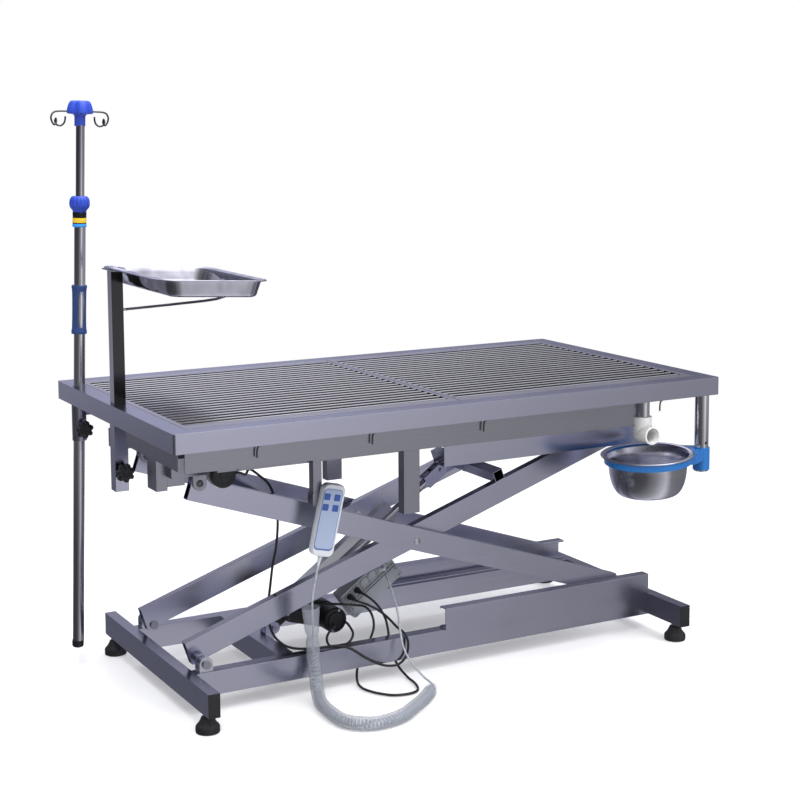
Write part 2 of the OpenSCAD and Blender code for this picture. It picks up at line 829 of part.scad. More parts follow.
module stand_sleeve() {
    color("silver") placed() difference() {
        union() {
            bar_z(stand_sleeve_x, stand_y, stand_sleeve_r, frame_z0 - stand_sleeve_h, frame_z0);
            bar_y(stand_sleeve_x, stand_knob_z, knob_boss_r, stand_y - stand_sleeve_r - knob_boss_l, stand_y);
        }
        bar_z(stand_sleeve_x, stand_y, stand_sleeve_bore, frame_z0 - stand_sleeve_h - over, frame_z0 + over);
        bar_y(stand_sleeve_x, stand_knob_z, knob_stem_r + fit, stand_y - 2 * stand_sleeve_r, stand_y);
    }
}

module post_sleeve() {
    w = post_sleeve_w / 2;
    v = w - post_wall;
    z0 = frame_z0 - post_sleeve_h;
    color("silver") placed() difference() {
        union() {
            block([post_x - w, post_y - w, z0], [post_x + w, post_y + w, frame_z0]);
            bar_y(post_x, post_knob_z, knob_boss_r, post_y - w - knob_boss_l, post_y);
        }
        block([post_x - v, post_y - v, z0 + post_cap_h], [post_x + v, post_y + v, frame_z0 + over]);
        bar_y(post_x, post_knob_z, knob_stem_r + fit, post_y - 2 * w, post_y);
    }
}

module bowl_post() {
    color("silver") placed() difference() {
        bar_z(bowl_post_x, bowl_post_y, bowl_post_r, post_low_z, frame_z0);
        bar_z(bowl_post_x, bowl_post_y, bowl_post_r - tube_wall, post_low_z + post_cap_h, frame_z0 + over);
        bar_y(bowl_post_x, holder_z1 + 2 * bolt_r, bolt_r / 2, bowl_post_y - 2 * bowl_post_r, bowl_post_y);
    }
}

junction_x = pivot_x + 13.5;
junction_y = -250;
junction_r = 26;
junction_t = 34;
strap_t = 1.5;
strap_w = 12;
junction_drop = 74;

module junction_box() {
    z = frame_z0 - junction_drop;
    color("black") placed() {
        bar_y(junction_x, z, junction_r, junction_y - junction_t / 2, junction_y + junction_t / 2);
        block([junction_x - strap_w / 2, junction_y - strap_w / 2, z],
            [junction_x + strap_w / 2, junction_y + strap_w / 2, frame_z0]);
        difference() {
            bar_y(junction_x, z, junction_r + strap_t, junction_y - strap_w / 2, junction_y + strap_w / 2);
            bar_y(junction_x, z, junction_r - weld, junction_y - junction_t, junction_y + junction_t);
        }
    }
}

// One lift-out grating panel between two ends
module grating(x0, x1) {
    y1 = panel_y1;
    z0 = top_z - grating_h;
    a = end_lip_w;
    b = side_lip_w;
    color("silver") placed() {
        difference() {
            block([x0, -y1, z0], [x1, y1, top_z]);
            block([x0 + lip_t, lip_t - y1, z0 - over], [x1 - lip_t, y1 - lip_t, top_z - lip_t]);
            block([x0 + a, b - y1, z0 - over], [x1 - a, y1 - b, top_z + over]);
        }
        for (i = [0:bar_n - 1]) translate([x0 + a / 2, b - y1 + (i + 0.5) * bar_step, top_z - bar_d / 2])
            rotate([0, 90, 0]) cylinder(r = bar_d / 2, h = x1 - x0 - a);
    }
}
module grating_left() { grating(-panel_x1, -panel_play); }
module grating_right() { grating(panel_play, panel_x1); }

// Drip stand
module on_stand() {
    translate([stand_x, stand_y, top_z]) rotate([0, stand_lean, 0]) children();
}
module tube_z(r, wall, z0, z1) {
    difference() {
        bar_z(0, 0, r, z0, z1);
        bar_z(0, 0, r - wall, z0 - over, z1 + over);
    }
}

module stand_lower_tube() {
    color("silver") placed() on_stand() tube_z(stand_r, tube_wall, stand_tip_h - stand_tip, stand_tube_top);
}

module stand_fittings() {
    plug_in = 10;
    color("navy") placed() on_stand() {
        difference() {
            bar_z(0, 0, stand_band_r, stand_band_z, stand_band_z + stand_band_h);
            bar_z(0, 0, stand_top_r + fit, stand_band_z - over, stand_band_z + stand_band_h + over);
        }
        difference() {
            bar_z(0, 0, grip_r, grip_z, grip_z + grip_h);
            bar_z(0, 0, stand_r + fit, grip_z - over, grip_z + grip_h + over);
        }
        bar_z(0, 0, stand_r + 0.5, -stand_tip, stand_tip_h - stand_tip);
        bar_z(0, 0, stand_r - tube_wall - fit, -stand_tip, stand_tip_h - stand_tip + plug_in);
    }
}

module stand_upper_tube() {
    color("silver") placed() on_stand()
        tube_z(stand_top_r, tube_wall, stand_inner_z, stand_h - head_h - head_neck_h + 2 * over);
}

module stand_collar() {
    n = 12;
    foot_r2 = stand_band_r - 1;
    color("royalblue") placed() on_stand() translate([0, 0, collar_z]) difference() {
        rotate_extrude() polygon([
            [stand_top_r + fit, 0], [foot_r2, 0], [foot_r2 + 1, collar_h * 0.14],
            [collar_r - 1.5, collar_h * 0.3], [collar_r, collar_h * 0.45], [collar_r, collar_h * 0.62],
            [collar_r - 2, collar_h * 0.85], [collar_r - 7, collar_h], [stand_top_r + fit, collar_h]
        ]);
        for (i = [0:n - 1]) rotate([0, 0, 360 * i / n]) translate([collar_r + 1, 0, -over])
            cylinder(r = 2.4, h = collar_h + 2 * over, $fn = 24);
    }
}

module stand_head() {
    z0 = stand_h - head_h;
    color("royalblue") placed() on_stand() difference() {
        union() {
            bar_z(0, 0, head_neck_r, z0 - head_neck_h, z0 + 2 * over);
            intersection() {
                translate([0, 0, z0]) rotate_extrude() polygon([
                    [0, 0], [head_neck_r, -6], [head_r - 1, 0], [head_r, 3], [head_r - 3, head_h * 0.55],
                    [head_r - 8, head_h * 0.92], [head_r - 12, head_h], [0, head_h]
                ]);
                for (a = [0, 90]) rotate([0, 0, a])
                    block([-head_r * 2, -head_r * 0.55, z0 - head_h], [head_r * 2, head_r * 0.55, stand_h + head_h]);
            }
        }
        bar_z(0, 0, stand_top_r + fit, z0 - head_neck_h - over, stand_h - head_h - head_neck_h + 2 * over);
    }
}

// A wire hook from the head outwards, down through a small loop and back up
hook_share = [
    [0.3, 0, 0], [0.55, 0, 0], [0.78, 0, -0.01], [0.92, 0.02, -0.06], [1, 0.05, -0.2], [0.97, 0.07, -0.36],
    [0.88, 0.05, -0.45], [0.8, 0, -0.36], [0.8, -0.06, -0.24], [0.82, -0.1, -0.34], [0.76, -0.1, -0.45],
    [0.63, -0.08, -0.48], [0.53, -0.06, -0.4], [0.49, -0.05, -0.28], [0.485, -0.05, -0.16]
];
module stand_hooks() {
    z = stand_h - head_h + 6;
    color("gray") placed() on_stand() for (a = [0, 180]) rotate([0, 0, a]) translate([0, 0, z])
        wire(route(hook_share * hook_reach, 2), hook_wire_r, 8);
}

// A seven-lobed clamping knob with its screw, along Y
module star_knob(x, y, z, out, reach) {
    lobes = 7;
    color("black") placed() translate([x, y, z]) rotate([90, 0, 0]) {
        translate([0, 0, out]) difference() {
            cylinder(r = knob_r, h = knob_h);
            for (i = [0:lobes - 1]) rotate([0, 0, 360 * i / lobes]) translate([knob_r + 1.5, 0, -over])
                cylinder(r = 5, h = knob_h + 2 * over, $fn = 24);
        }
        translate([0, 0, out - 8]) cylinder(r = 2 * knob_stem_r, h = 8 + weld);
        translate([0, 0, reach]) cylinder(r = knob_stem_r, h = out - reach);
    }
}

module stand_knob() {
    lean = (top_z - stand_knob_z) * tan(stand_lean);
    off = stand_sleeve_x - (stand_x - lean);
    star_knob(stand_sleeve_x, stand_y, stand_knob_z, stand_sleeve_r + knob_boss_l + 8.5, stand_r + 2 * gap + abs(off) / 4);
}

module tray_knob() {
    star_knob(post_x, post_y, post_knob_z, post_sleeve_w / 2 + knob_boss_l + 8.5, post_w / 2 + gap);
}

// Instrument tray
module on_tray() {
    translate([tray_x, 0, top_z + tray_up]) rotate([0, tray_sag, 0]) children();
}

module tray_post() {
    w = post_w / 2;
    v = w - post_wall;
    color("silver") placed() difference() {
        block([post_x - w, post_y - w, top_z - top_tube - post_bottom], [post_x + w, post_y + w, post_top]);
        block([post_x - v, post_y - v, top_z - top_tube - post_bottom - over],
            [post_x + v, post_y + v, post_top + over]);
    }
}

// The round support runs from the post to the tray's underside
support_drop = 89.7;
support_share = [
    [0, 0, 0], [0.05, 0, 0], [0.2, 0.13, 0.07], [0.5, 0.45, 0.23], [0.8, 0.78, 0.4],
    [0.92, 0.92, 0.5], [1, 1, 0.63], [1.03, 1.03, 0.87]
];
support_x = 190;
support_y = -105;
support_z = 43;

module tray_carrier() {
    z1 = top_z + tray_up - support_drop;
    low = [post_x + post_w / 2, post_y, z1];
    color("silver") placed() {
        on_tray() block([0, post_y - carrier_w / 2, -2 * carrier_t - gap], [tray_left_w - 2, post_y + carrier_w / 2, -carrier_t - gap]);
        block([post_x - post_w / 2, post_y - post_w / 2, post_top],
            [post_x + post_w / 2, post_y + post_w / 2, post_top + post_cap_t]);
        wire([for (s = support_share) low + [s[0] * support_x, s[1] * support_y, s[2] * support_z]], wire_r, 8);
    }
}

module tray_body(inset, z0, z1) {
    left = tray_left_w + inset;
    side = tray_flange_w + inset;
    r = tray_r - tray_flange_w;
    hull() {
        translate([left, tray_y + side, z1]) linear_extrude(weld)
            round_flat(tray_w - left - side, tray_l - 2 * side, r);
        translate([left + tray_wall_in, tray_y + side + tray_wall_in, z0]) linear_extrude(weld)
            round_flat(tray_w - left - side - 2 * tray_wall_in, tray_l - 2 * side - 2 * tray_wall_in, r);
    }
}
module round_flat(l, w, r) {
    translate([r, r]) offset(r = r, $fn = 32) square([l - 2 * r, w - 2 * r]);
}

module instrument_tray() {
    t = tray_t;
    color("silver") placed() on_tray() difference() {
        union() {
            translate([0, tray_y, -2 * t]) round_slab(tray_w, tray_l, 2 * t, tray_r);
            tray_body(0, -tray_d, -2 * t);
        }
        tray_body(t, t - tray_d, -weld + t);
    }
}

// The ring and the bowl in it droop a little from the post
module on_ring() {
    translate([bowl_post_x, bowl_post_y, ring_z1]) rotate([bowl_roll, bowl_droop, 0])
        translate([-bowl_post_x, -bowl_post_y, -ring_z1]) children();
}

// Bowl
module bowl_holder() {
    r1 = bowl_neck_r + holder_ring_t + 0.5;
    r0 = bowl_neck_r + 0.5;
    arm_w = 17;
    color("dodgerblue") placed() difference() {
        union() {
            on_ring() bar_z(bowl_x, bowl_y, r1, ring_z1 - holder_ring_h, ring_z1);
            bar_z(bowl_post_x, bowl_post_y, bowl_post_r + holder_wall, holder_z0, holder_z1);
            on_ring() translate([bowl_post_x, bowl_post_y, 0]) rotate([0, 0, atan2(bowl_off_y, -bowl_off_x)]) {
                span = norm([bowl_off_x, bowl_off_y]) - r0;
                translate([0, 0, ring_z1 - 1.6 * holder_ring_h]) linear_extrude(1.6 * holder_ring_h)
                    polygon([[0, -arm_w], [span, -2.6 * arm_w], [span + 9, -2.6 * arm_w], [span + 9, 2.6 * arm_w],
                        [span, 2.6 * arm_w], [0, arm_w]]);
            }
        }
        on_ring() bar_z(bowl_x, bowl_y, r0, 0, top_z);
        bar_z(bowl_post_x, bowl_post_y, bowl_post_r + fit, 0, top_z);
    }
}

module bowl() {
    t = bowl_t;
    turn_z = bowl_d * bowl_turn_share;
    steps = 8;
    curve = [for (i = [0:steps]) let (a = 90 * i / steps)
        [bowl_foot_r + (bowl_wall_r - bowl_foot_r) * sin(a), turn_z * (1 - cos(a))]];
    inner = [for (i = [steps:-1:0]) [curve[i][0] - t, curve[i][1] + t]];
    color("silver") placed() on_ring() translate([bowl_x, bowl_y, bowl_rim_z - bowl_d]) rotate_extrude($fn = 96) polygon(concat(
        [[0, 0]], curve,
        [[bowl_neck_r, bowl_d], [bowl_r - t, bowl_d], [bowl_r, bowl_d + t], [bowl_r - t, bowl_d + 2 * t],
            [bowl_neck_r - t, bowl_d + 2 * t]],
        inner, [[0, t]]
    ));
}

// Drive, in a frame along the line between its two pivots
module on_drive() {
    translate([drive_x, 0, drive_z]) rotate([0, -drive_deg, 0]) children();
}
module bar_x(r, x0, x1) {
    translate([x0, 0, 0]) rotate([0, 90, 0]) cylinder(r = r, h = x1 - x0);
}

module drive_rod() {
    color("gainsboro") placed() on_drive() {
        bar_x(rod_r, rod_hidden, drive_l - clevis_l + weld);
        block([drive_l - clevis_l, -clevis_y1, -clevis_r], [drive_l - clevis_l + 6, clevis_y1, clevis_r]);
        both_sides() {
            block([drive_l - clevis_l, clevis_y0, -clevis_r], [drive_l, clevis_y1, clevis_r]);
            bar_y(drive_l, 0, clevis_r, clevis_y0, clevis_y1);
            bar_y(drive_l, 0, drive_pin_r, clevis_y0, clevis_y1 + nut_h);
        }
    }
}

drive_rail_w = 22;
drive_rail_h = 20;
drive_rail_s = 90;

module drive_tube() {
    color("lightgray") placed() on_drive() {
        difference() {
            bar_x(drive_tube_r, drive_start, tube_l);
            bar_x(rod_r + fit, drive_start - over, tube_l + over);
        }
        difference() {
            block([drive_rail_s, -drive_rail_w / 2, drive_tube_r - 2], [tube_l, drive_rail_w / 2, drive_tube_r + drive_rail_h]);
            bar_x(drive_tube_r - weld, drive_rail_s - over, tube_l + over);
            block([drive_rail_s - over, 3 - drive_rail_w / 2, drive_tube_r + 3],
                [tube_l + over, drive_rail_w / 2 - 3, drive_tube_r + drive_rail_h - 3]);
        }
    }
}

housing_r = 30;
housing_s = 60;
drive_bore = drive_tube_r + fit;

module drive_motor() {
    color("black") placed() on_drive() difference() {
        union() {
            translate([0, housing_y1, 0]) rotate([90, 0, 0]) linear_extrude(housing_y1 - housing_y0) hull() {
                translate([housing_s, 0]) circle(r = housing_r, $fn = 32);
                translate([motor_s, motor_n]) circle(r = housing_r, $fn = 32);
            }
            bar_y(motor_s, motor_n, motor_r, motor_y0, housing_y0 + weld);
            block([0, -drive_eye_y, -drive_eye_r], [housing_s, drive_eye_y, drive_eye_r]);
            bar_y(0, 0, drive_eye_r, -drive_eye_y, drive_eye_y);
        }
        bar_y(0, 0, drive_pin_r + fit, -2 * drive_eye_y, 2 * drive_eye_y);
        bar_x(drive_bore, drive_start - gap, tube_l);
        block([drive_rail_s - gap, -drive_rail_w / 2 - gap, 0], [tube_l, drive_rail_w / 2 + gap, 2 * drive_rail_h + drive_tube_r]);
    }
}

module control_box() {
    strip_n0 = plug_n - 15;
    foot_s0 = box_s0 + 40;
    color("lightgray") placed() on_drive() difference() {
        union() {
            block([box_s0, box_y0, box_n0], [box_s1, box_y1, box_n1]);
            block([foot_s0, box_y1 - 8, box_n1 - weld], [foot_s0 + 60, -drive_tube_r / 2, -drive_tube_r / 4]);
        }
        block([box_s0 + 6, box_y0 - over, strip_n0], [box_s1 - 12, box_y0 + 4, plug_n + 13]);
        bar_x(drive_bore, 0, tube_l);
    }
}

module control_plugs() {
    color("black") placed() on_drive() for (s = plug_s) {
        bar_y(s, plug_n, plug_r, box_y0 + 4 - plug_l / 2, box_y0 + 4);
        bar_y(s, plug_n, plug_r * 0.7, box_y0 + 4 - plug_l, box_y0 + 4 - plug_l / 2 + weld);
    }
}

// Handset
module on_handset() {
    translate([handset_x, handset_back, handset_z]) rotate([0, handset_lean, 0]) children();
}
button_places = [for (i = [0, 1], j = [0, 1]) [(i - 0.5) * button_dx - button_shift, button_up - j * button_dz]];

module handset_shell() {
    w = handset_w / 2;
    l = handset_l / 2;
    r = handset_r;
    b = button_w / 2 + gap;
    color("lightgray") placed() on_handset() difference() {
        union() {
            hull() for (x = [-w + r, w - r], z = [-l + r, l - r]) {
                bar_y(x, z, r, 2 - handset_t, 0, $fn = 32);
                bar_y(x, z, r - 2, -handset_t, 0, $fn = 32);
            }
            bar_z(0, -handset_t / 2, relief_r, -l - relief_l / 2, -l + 4);
            bar_z(0, -handset_t / 2, relief_r * 0.6, -l - relief_l, -l);
        }
        for (p = button_places) block([p[0] - b, -handset_t - over, p[1] - b], [p[0] + b, button_pocket - handset_t, p[1] + b]);
    }
}

module button(i) {
    b = button_w / 2;
    p = button_places[i];
    color("navy") placed() on_handset()
        block([p[0] - b, -handset_t - button_rise, p[1] - b], [p[0] + b, button_pocket - handset_t - button_rise, p[1] + b]);
}
module button_1() { button(0); }
module button_2() { button(1); }
module button_3() { button(2); }
module button_4() { button(3); }

// Routes of the cords, chosen by hand about the middle of the top
power_points = [
    [-489.2, -250, 518], [-476, -250, 516], [-444, -204, 500], [-406, -138, 494], [-376, -118, 474],
    [-352, -117.6, 449.9], [-345, -130, 418.7], [-341, -134, 378], [-334, -110, 314.9], [-338, -98, 268], [-348, -102, 211], [-356, -106, 170],
    [-352, -122, 128], [-338, -140, 106], [-318, -155, 97], [-290, -168, 95], [-260, -176, 95], [-225, -188, 96.5],
    [-196, -196, 85], [-165, -197, 62], [-135, -198, 44], [-108, -198, 35], [-84, -198, 35], [-66, -198, 50],
    [-61, -199, 78], [-66, -191, 99], [-72, -168, 108], [-80, -136, 124], [-92, -114, 136], [-110, -105, 147],
    [-127, -102, 155], [-133.4, -95, 157.5], [-133.4, -83.6, 157.5]
];
lead_points = [
    [-115.5, -83.6, 170.3], [-115.5, -95, 170], [-103, -102, 160], [-86, -105, 142], [-78, -122, 120], [-78, -136, 98], [-80, -148, 70], [-74, -152, 40],
    [-68, -170, 16], [-66, -206, 4], [-70, -242, 4], [-79, -273, 4], [-92, -290, 4], [-115, -296, 4], [-146, -288, 4],
    [-167, -265, 4], [-179, -241, 4], [-184, -213, 4], [-178, -180, 8], [-160, -150, 30], [-130, -134, 62],
    [-104, -118, 96], [-98, -98, 122], [-112, -91, 140], [-138, -90, 147], [-168, -84, 152], [-204, -60, 151],
    [-226, -40, 140], [-240, -20, 132]
];
loop_points = [
    [-152, -74.2, 106], [-150, -85, 103], [-143, -94, 84], [-156, -100, 68], [-180, -103, 64], [-204, -100, 68],
    [-208, -94, 84], [-197, -90, 98], [-183, -84, 103], [-181, -74.2, 103]
];
tail_points = [
    [-57, -82, 210], [-57, -100, 195], [-60, -125, 174], [-65, -150, 154], [-72, -175, 134], [-80, -196, 112],
    [-82, -212, 82], [-78, -228, 58], [-70, -245, 40], [-62, -268, 24], [-57, -290, 17], [-58, -304, 15]
];
coil_points = [
    [-300, -215, 112], [-299, -215, 92], [-298, -218, 70], [-299, -226, 46], [-304, -243, 25], [-311, -266, 16],
    [-317, -295, 15], [-321, -330, 15], [-322, -365, 15], [-318, -392, 15], [-306, -413, 15], [-286, -429, 15],
    [-260, -437, 15], [-230, -435, 15], [-196, -424, 15], [-168, -404, 15], [-140, -383, 15], [-114, -362, 15],
    [-90, -340, 15], [-72, -320, 15], [-58, -304, 15]
];

module power_cable() {
    color("black") placed() wire(route(power_points, 1), cable_d / 2, 8);
}
module motor_lead() {
    color("black") placed() wire(route(lead_points, 1), cable_d / 2, 8);
}
module motor_loop() {
    color("black") placed() wire(route(loop_points, 1), cable_d / 2, 8);
}
module handset_tail() {
    color("gainsboro") placed() wire(route(tail_points, 1), lead_d / 2, 8);
}

module handset_lead() {
    end = handset_l / 2 + relief_l;
    top = [handset_x - end * sin(handset_lean), handset_back - handset_t / 2, handset_z - end * cos(handset_lean)];
    dip = [sin(handset_lean), 0, cos(handset_lean)];
    foot = coil_points[0];
    color("gainsboro") placed() wire([
        top, top - 2 * lead_d * dip, foot + [0, 0, top[2] - foot[2]] * 0.6, foot + [0, 0, top[2] - foot[2]] * 0.3,
        foot + [0, 0, 2 * lead_d], foot
    ], lead_d / 2, 8);
}

// The curly cord: straight ends and one unbroken helix about its route
curl_rings = 8;
coil_line = route(coil_points, 6);
coil_reach = lengths(coil_line);
coil_l = coil_reach[len(coil_reach) - 1];
curl_axis_r = (curl_d - lead_d) / 2;
curl_run = 2 * lead_d;
helix_l = coil_l - 2 * curl_run;
helix_n = curl_n * curl_rings;
coil_axis = [for (i = [0:helix_n]) place(coil_line, coil_reach, curl_run + helix_l * i / helix_n)];
coil_side = sides_of(coil_axis);
helix = [for (i = [0:helix_n]) let (
    t = heading(coil_axis, i), u = coil_side[i], w = cross(t, u), a = 360 * i / curl_rings,
    ease = min(1, i / curl_rings, (helix_n - i) / curl_rings)
) coil_axis[i] + curl_axis_r * ease * (u * cos(a) + w * sin(a))];
curly_line = concat(
    [coil_line[0], place(coil_line, coil_reach, lead_d)], helix,
    [place(coil_line, coil_reach, coil_l - lead_d), coil_line[len(coil_line) - 1]]
);
// Least space between one curl and the next
curl_gap = min([for (i = [curl_rings:helix_n - 2 * curl_rings]) min([for (k = [-2:2])
    norm(helix[i + curl_rings + k] - helix[i])])]) - lead_d;
echo(curl_gap = curl_gap, coil_l = coil_l);

module curly_cord() {
    color("gainsboro") placed() wire(curly_line, lead_d / 2, 6);
}

// The loose clear sleeve: a funnel over the handset's cable, and closed on the far end of the coil
sleeve_r = 14.6;
sleeve_t = 0.8;
sleeve_steps = 42;
sleeve_end = 14;
funnel_r = 20;
sleeve_sides = 12;
neck_r = (curl_d / 2 + gap) / cos(180 / sleeve_sides) + sleeve_t;
sleeve_top = [[-305, -215, 202], [-304, -215, 180], [-302, -215, 150]];
sleeve_points = concat(sleeve_top, coil_points);
sleeve_route = route(sleeve_points, 4);
sleeve_reach = lengths(sleeve_route);
sleeve_l = sleeve_reach[len(sleeve_reach) - 1] - sleeve_end;
function sleeve_at(i) =
    i < 4 ? funnel_r - (funnel_r - sleeve_r) * i / 4
    : i > sleeve_steps - 2 ? neck_r + (sleeve_steps - i) * 2 : sleeve_r;
module cord_sleeve() {
    n = sleeve_sides;
    line = [for (i = [0:sleeve_steps]) place(sleeve_route, sleeve_reach, 0.01 + (sleeve_l - 0.01) * i / sleeve_steps)];
    side = sides_of(line);
    count = len(line);
    last = (count - 1) * n;
    inner = count * n;
    points = [
        for (deep = [0, sleeve_t], i = [0:count - 1], k = [0:n - 1])
            let (t = heading(line, i), w = cross(t, side[i]), a = 360 * k / n)
                line[i] + (sleeve_at(i) - deep) * (side[i] * cos(a) + w * sin(a))
    ];
    faces = concat(
        skin(count, n),
        skin(count, n, inner, true),
        [for (k = [0:n - 1]) let (j = (k + 1) % n) each [[k, j, inner + k], [j, inner + j, inner + k]]],
        [for (k = [0:n - 1]) let (j = (k + 1) % n)
            each [[last + k, inner + last + k, last + j], [last + j, inner + last + k, inner + last + j]]]
    );
    color("lavender", 0.5) placed() polyhedron(points = points, faces = faces, convexity = 10);
}

base_frame();
base_end_caps();
lower_channels();
lower_lugs();
lower_bolts();
foot_studs();
foot_pad_1();
foot_pad_2();
foot_pad_3();
foot_pad_4();
inner_arms();
outer_arms();
cross_bolts();
lower_rollers();
upper_rollers();
top_frame();
subframe();
upper_channels();
upper_bolts();
apron_panels();
drip_tray();
drain_pipe();
drain_elbow();
tie_hooks();
stand_sleeve();
post_sleeve();
bowl_post();
junction_box();
grating_left();
grating_right();
stand_lower_tube();
stand_fittings();
stand_upper_tube();
stand_collar();
stand_head();
stand_hooks();
stand_knob();
tray_post();
tray_knob();
tray_carrier();
instrument_tray();
bowl_holder();
bowl();
drive_rod();
drive_tube();
drive_motor();
control_box();
control_plugs();
handset_shell();
button_1();
button_2();
button_3();
button_4();
power_cable();
motor_lead();
motor_loop();
handset_lead();
handset_tail();
curly_cord();
cord_sleeve();
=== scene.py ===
import bpy
import bmesh
import math
import random
from mathutils import Matrix, Vector


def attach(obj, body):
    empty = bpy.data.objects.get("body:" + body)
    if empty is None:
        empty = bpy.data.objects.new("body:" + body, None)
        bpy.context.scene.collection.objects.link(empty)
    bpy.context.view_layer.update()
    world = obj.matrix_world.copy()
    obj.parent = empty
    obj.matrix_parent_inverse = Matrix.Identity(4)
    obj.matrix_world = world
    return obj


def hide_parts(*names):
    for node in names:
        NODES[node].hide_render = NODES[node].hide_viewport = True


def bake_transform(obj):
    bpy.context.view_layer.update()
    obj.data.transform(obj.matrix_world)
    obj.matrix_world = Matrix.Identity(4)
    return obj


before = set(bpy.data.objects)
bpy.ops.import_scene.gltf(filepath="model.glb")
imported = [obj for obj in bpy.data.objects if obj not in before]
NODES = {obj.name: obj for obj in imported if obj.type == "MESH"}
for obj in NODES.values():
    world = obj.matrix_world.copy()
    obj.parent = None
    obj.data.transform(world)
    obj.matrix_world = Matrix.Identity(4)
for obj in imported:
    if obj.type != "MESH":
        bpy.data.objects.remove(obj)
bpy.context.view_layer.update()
ORIGIN = Vector((-19.5, -35.0, 0.0))
TOP_Z = 631.971


def P(x, y, z):
    """A point given in millimetres about the middle of the top, in the shared frame."""
    return (Vector((x, y, z)) - ORIGIN) / 1000


def shown(name, data):
    """A new object in the scene."""
    o = bpy.data.objects.new(name, data)
    bpy.context.scene.collection.objects.link(o)
    return o


def aim(o, target):
    o.rotation_euler = (Vector(target) - o.location).to_track_quat("-Z", "Y").to_euler()


# Camera, fitted to the straight edges in the photo
CAMERA_AT = P(-1784.8, -3300.5, 1257.6)
yaw, pitch, roll = math.radians(28.766), math.radians(6.774), math.radians(-0.302)
ahead = Vector((math.sin(yaw) * math.cos(pitch), math.cos(yaw) * math.cos(pitch), -math.sin(pitch)))
right0 = Vector((math.cos(yaw), -math.sin(yaw), 0))
up0 = right0.cross(ahead)
right = right0 * math.cos(roll) + up0 * math.sin(roll)
up = up0 * math.cos(roll) - right0 * math.sin(roll)
camera = shown("camera", bpy.data.cameras.new("camera"))
turn = Matrix((right, up, -ahead)).transposed().to_4x4()
camera.matrix_world = Matrix.Translation(CAMERA_AT) @ turn
camera.data.lens = 75.18
camera.data.sensor_width = 36
camera.data.shift_x = 0.0025
camera.data.shift_y = -0.125
camera.data.clip_end = 60
bpy.context.scene.camera = camera


# Nodes of shaders and of geometry trees
def put(nt, kind, inputs=(), **settings):
    """A node with its settings, whose inputs are set to values or linked from sockets."""
    n = nt.nodes.new(kind)
    for key, value in settings.items():
        setattr(n, key, value)
    for key, value in dict(inputs).items():
        if isinstance(value, bpy.types.NodeSocket):
            nt.links.new(value, n.inputs[key])
        else:
            n.inputs[key].default_value = value
    return n.outputs


def span(nt, source, low, high, to_low=0.0, to_high=1.0):
    """Maps the range from low to high to another one."""
    return put(nt, "ShaderNodeMapRange", {
        "Value": source, "From Min": low, "From Max": high, "To Min": to_low, "To Max": to_high})["Result"]


def ramp(nt, source, stops):
    """A colour ramp; a stop is its place with a colour or a grey."""
    stops = [(at, (c, c, c, 1) if isinstance(c, float) else (*c, 1)) for at, c in stops]
    r = nt.nodes.new("ShaderNodeValToRGB")
    steps = r.color_ramp.elements
    steps[0].position, steps[0].color = stops[0]
    steps[1].position, steps[1].color = stops[-1]
    for at, c in stops[1:-1]:
        steps.new(at).color = c
    nt.links.new(source, r.inputs["Fac"])
    return r.outputs["Color"]


def noise(nt, source, scale, detail=3.0):
    return put(nt, "ShaderNodeTexNoise", {"Vector": source, "Scale": scale, "Detail": detail})["Fac"]


def times(nt, size, share):
    return put(nt, "ShaderNodeMath", {0: size, 1: share}, operation="MULTIPLY")["Value"]


def bumps(nt, height, strength, distance):
    return put(nt, "ShaderNodeBump", {"Height": height, "Strength": strength, "Distance": distance})["Normal"]


def found(m, kind):
    return next(n for n in m.node_tree.nodes if n.type == kind)


# Materials: every one has colour, roughness and bump from noise in object space
NOISE_LOW, NOISE_HIGH = 0.3, 0.7
STEEL = (0.62, 0.625, 0.75)
EDGE = 0.0012
BLOTCH_SHARE = 0.45
LEAST_ROUGH = 0.03


def material(name, color, metallic, rough, spread, vary, scale, bump,
             depth=0.0004, coat=0.0, blotch=9.0, edge=0.0):
    """A finish with slow blotches, rounded edges and a fine grain of one scale or one for each axis."""
    scale = scale if isinstance(scale, tuple) else (scale, scale, scale)
    m = bpy.data.materials.new(name)
    m.use_nodes = True
    nt = m.node_tree
    b = nt.nodes["Principled BSDF"].inputs
    b["Metallic"].default_value = metallic
    b["Coat Weight"].default_value = coat
    at = put(nt, "ShaderNodeTexCoord")["Object"]
    grain = noise(nt, put(nt, "ShaderNodeMapping", {"Vector": at, "Scale": scale})["Vector"], 1.0)
    both = put(nt, "ShaderNodeMix", {
        "Factor": BLOTCH_SHARE, "A": grain, "B": noise(nt, at, blotch)})["Result"]
    light, deep = [tuple(min(1.0, c * k) for c in color) for k in (1 + vary, 1 - vary)]
    nt.links.new(ramp(nt, both, [(NOISE_LOW, deep), (NOISE_HIGH, light)]), b["Base Color"])
    shine, dull = max(LEAST_ROUGH, rough - spread), min(1.0, rough + spread)
    nt.links.new(span(nt, both, NOISE_LOW, NOISE_HIGH, shine, dull), b["Roughness"])
    nt.links.new(bumps(nt, grain, bump, depth), b["Normal"])
    if edge:
        rounding = nt.nodes.new("ShaderNodeBevel")
        rounding.samples = 4
        rounding.inputs["Radius"].default_value = edge
        nt.links.new(rounding.outputs["Normal"], found(m, "BUMP").inputs["Normal"])
    return m


def waves(m, scale, depth):
    """Slow hollows under the finish, as in pressed or spun sheet."""
    nt = m.node_tree
    finish = found(m, "BUMP")
    swell = noise(nt, found(m, "TEX_COORD").outputs["Object"], scale, 1.0)
    nt.links.new(bumps(nt, swell, 1.0, depth), finish.inputs["Normal"])
    return m


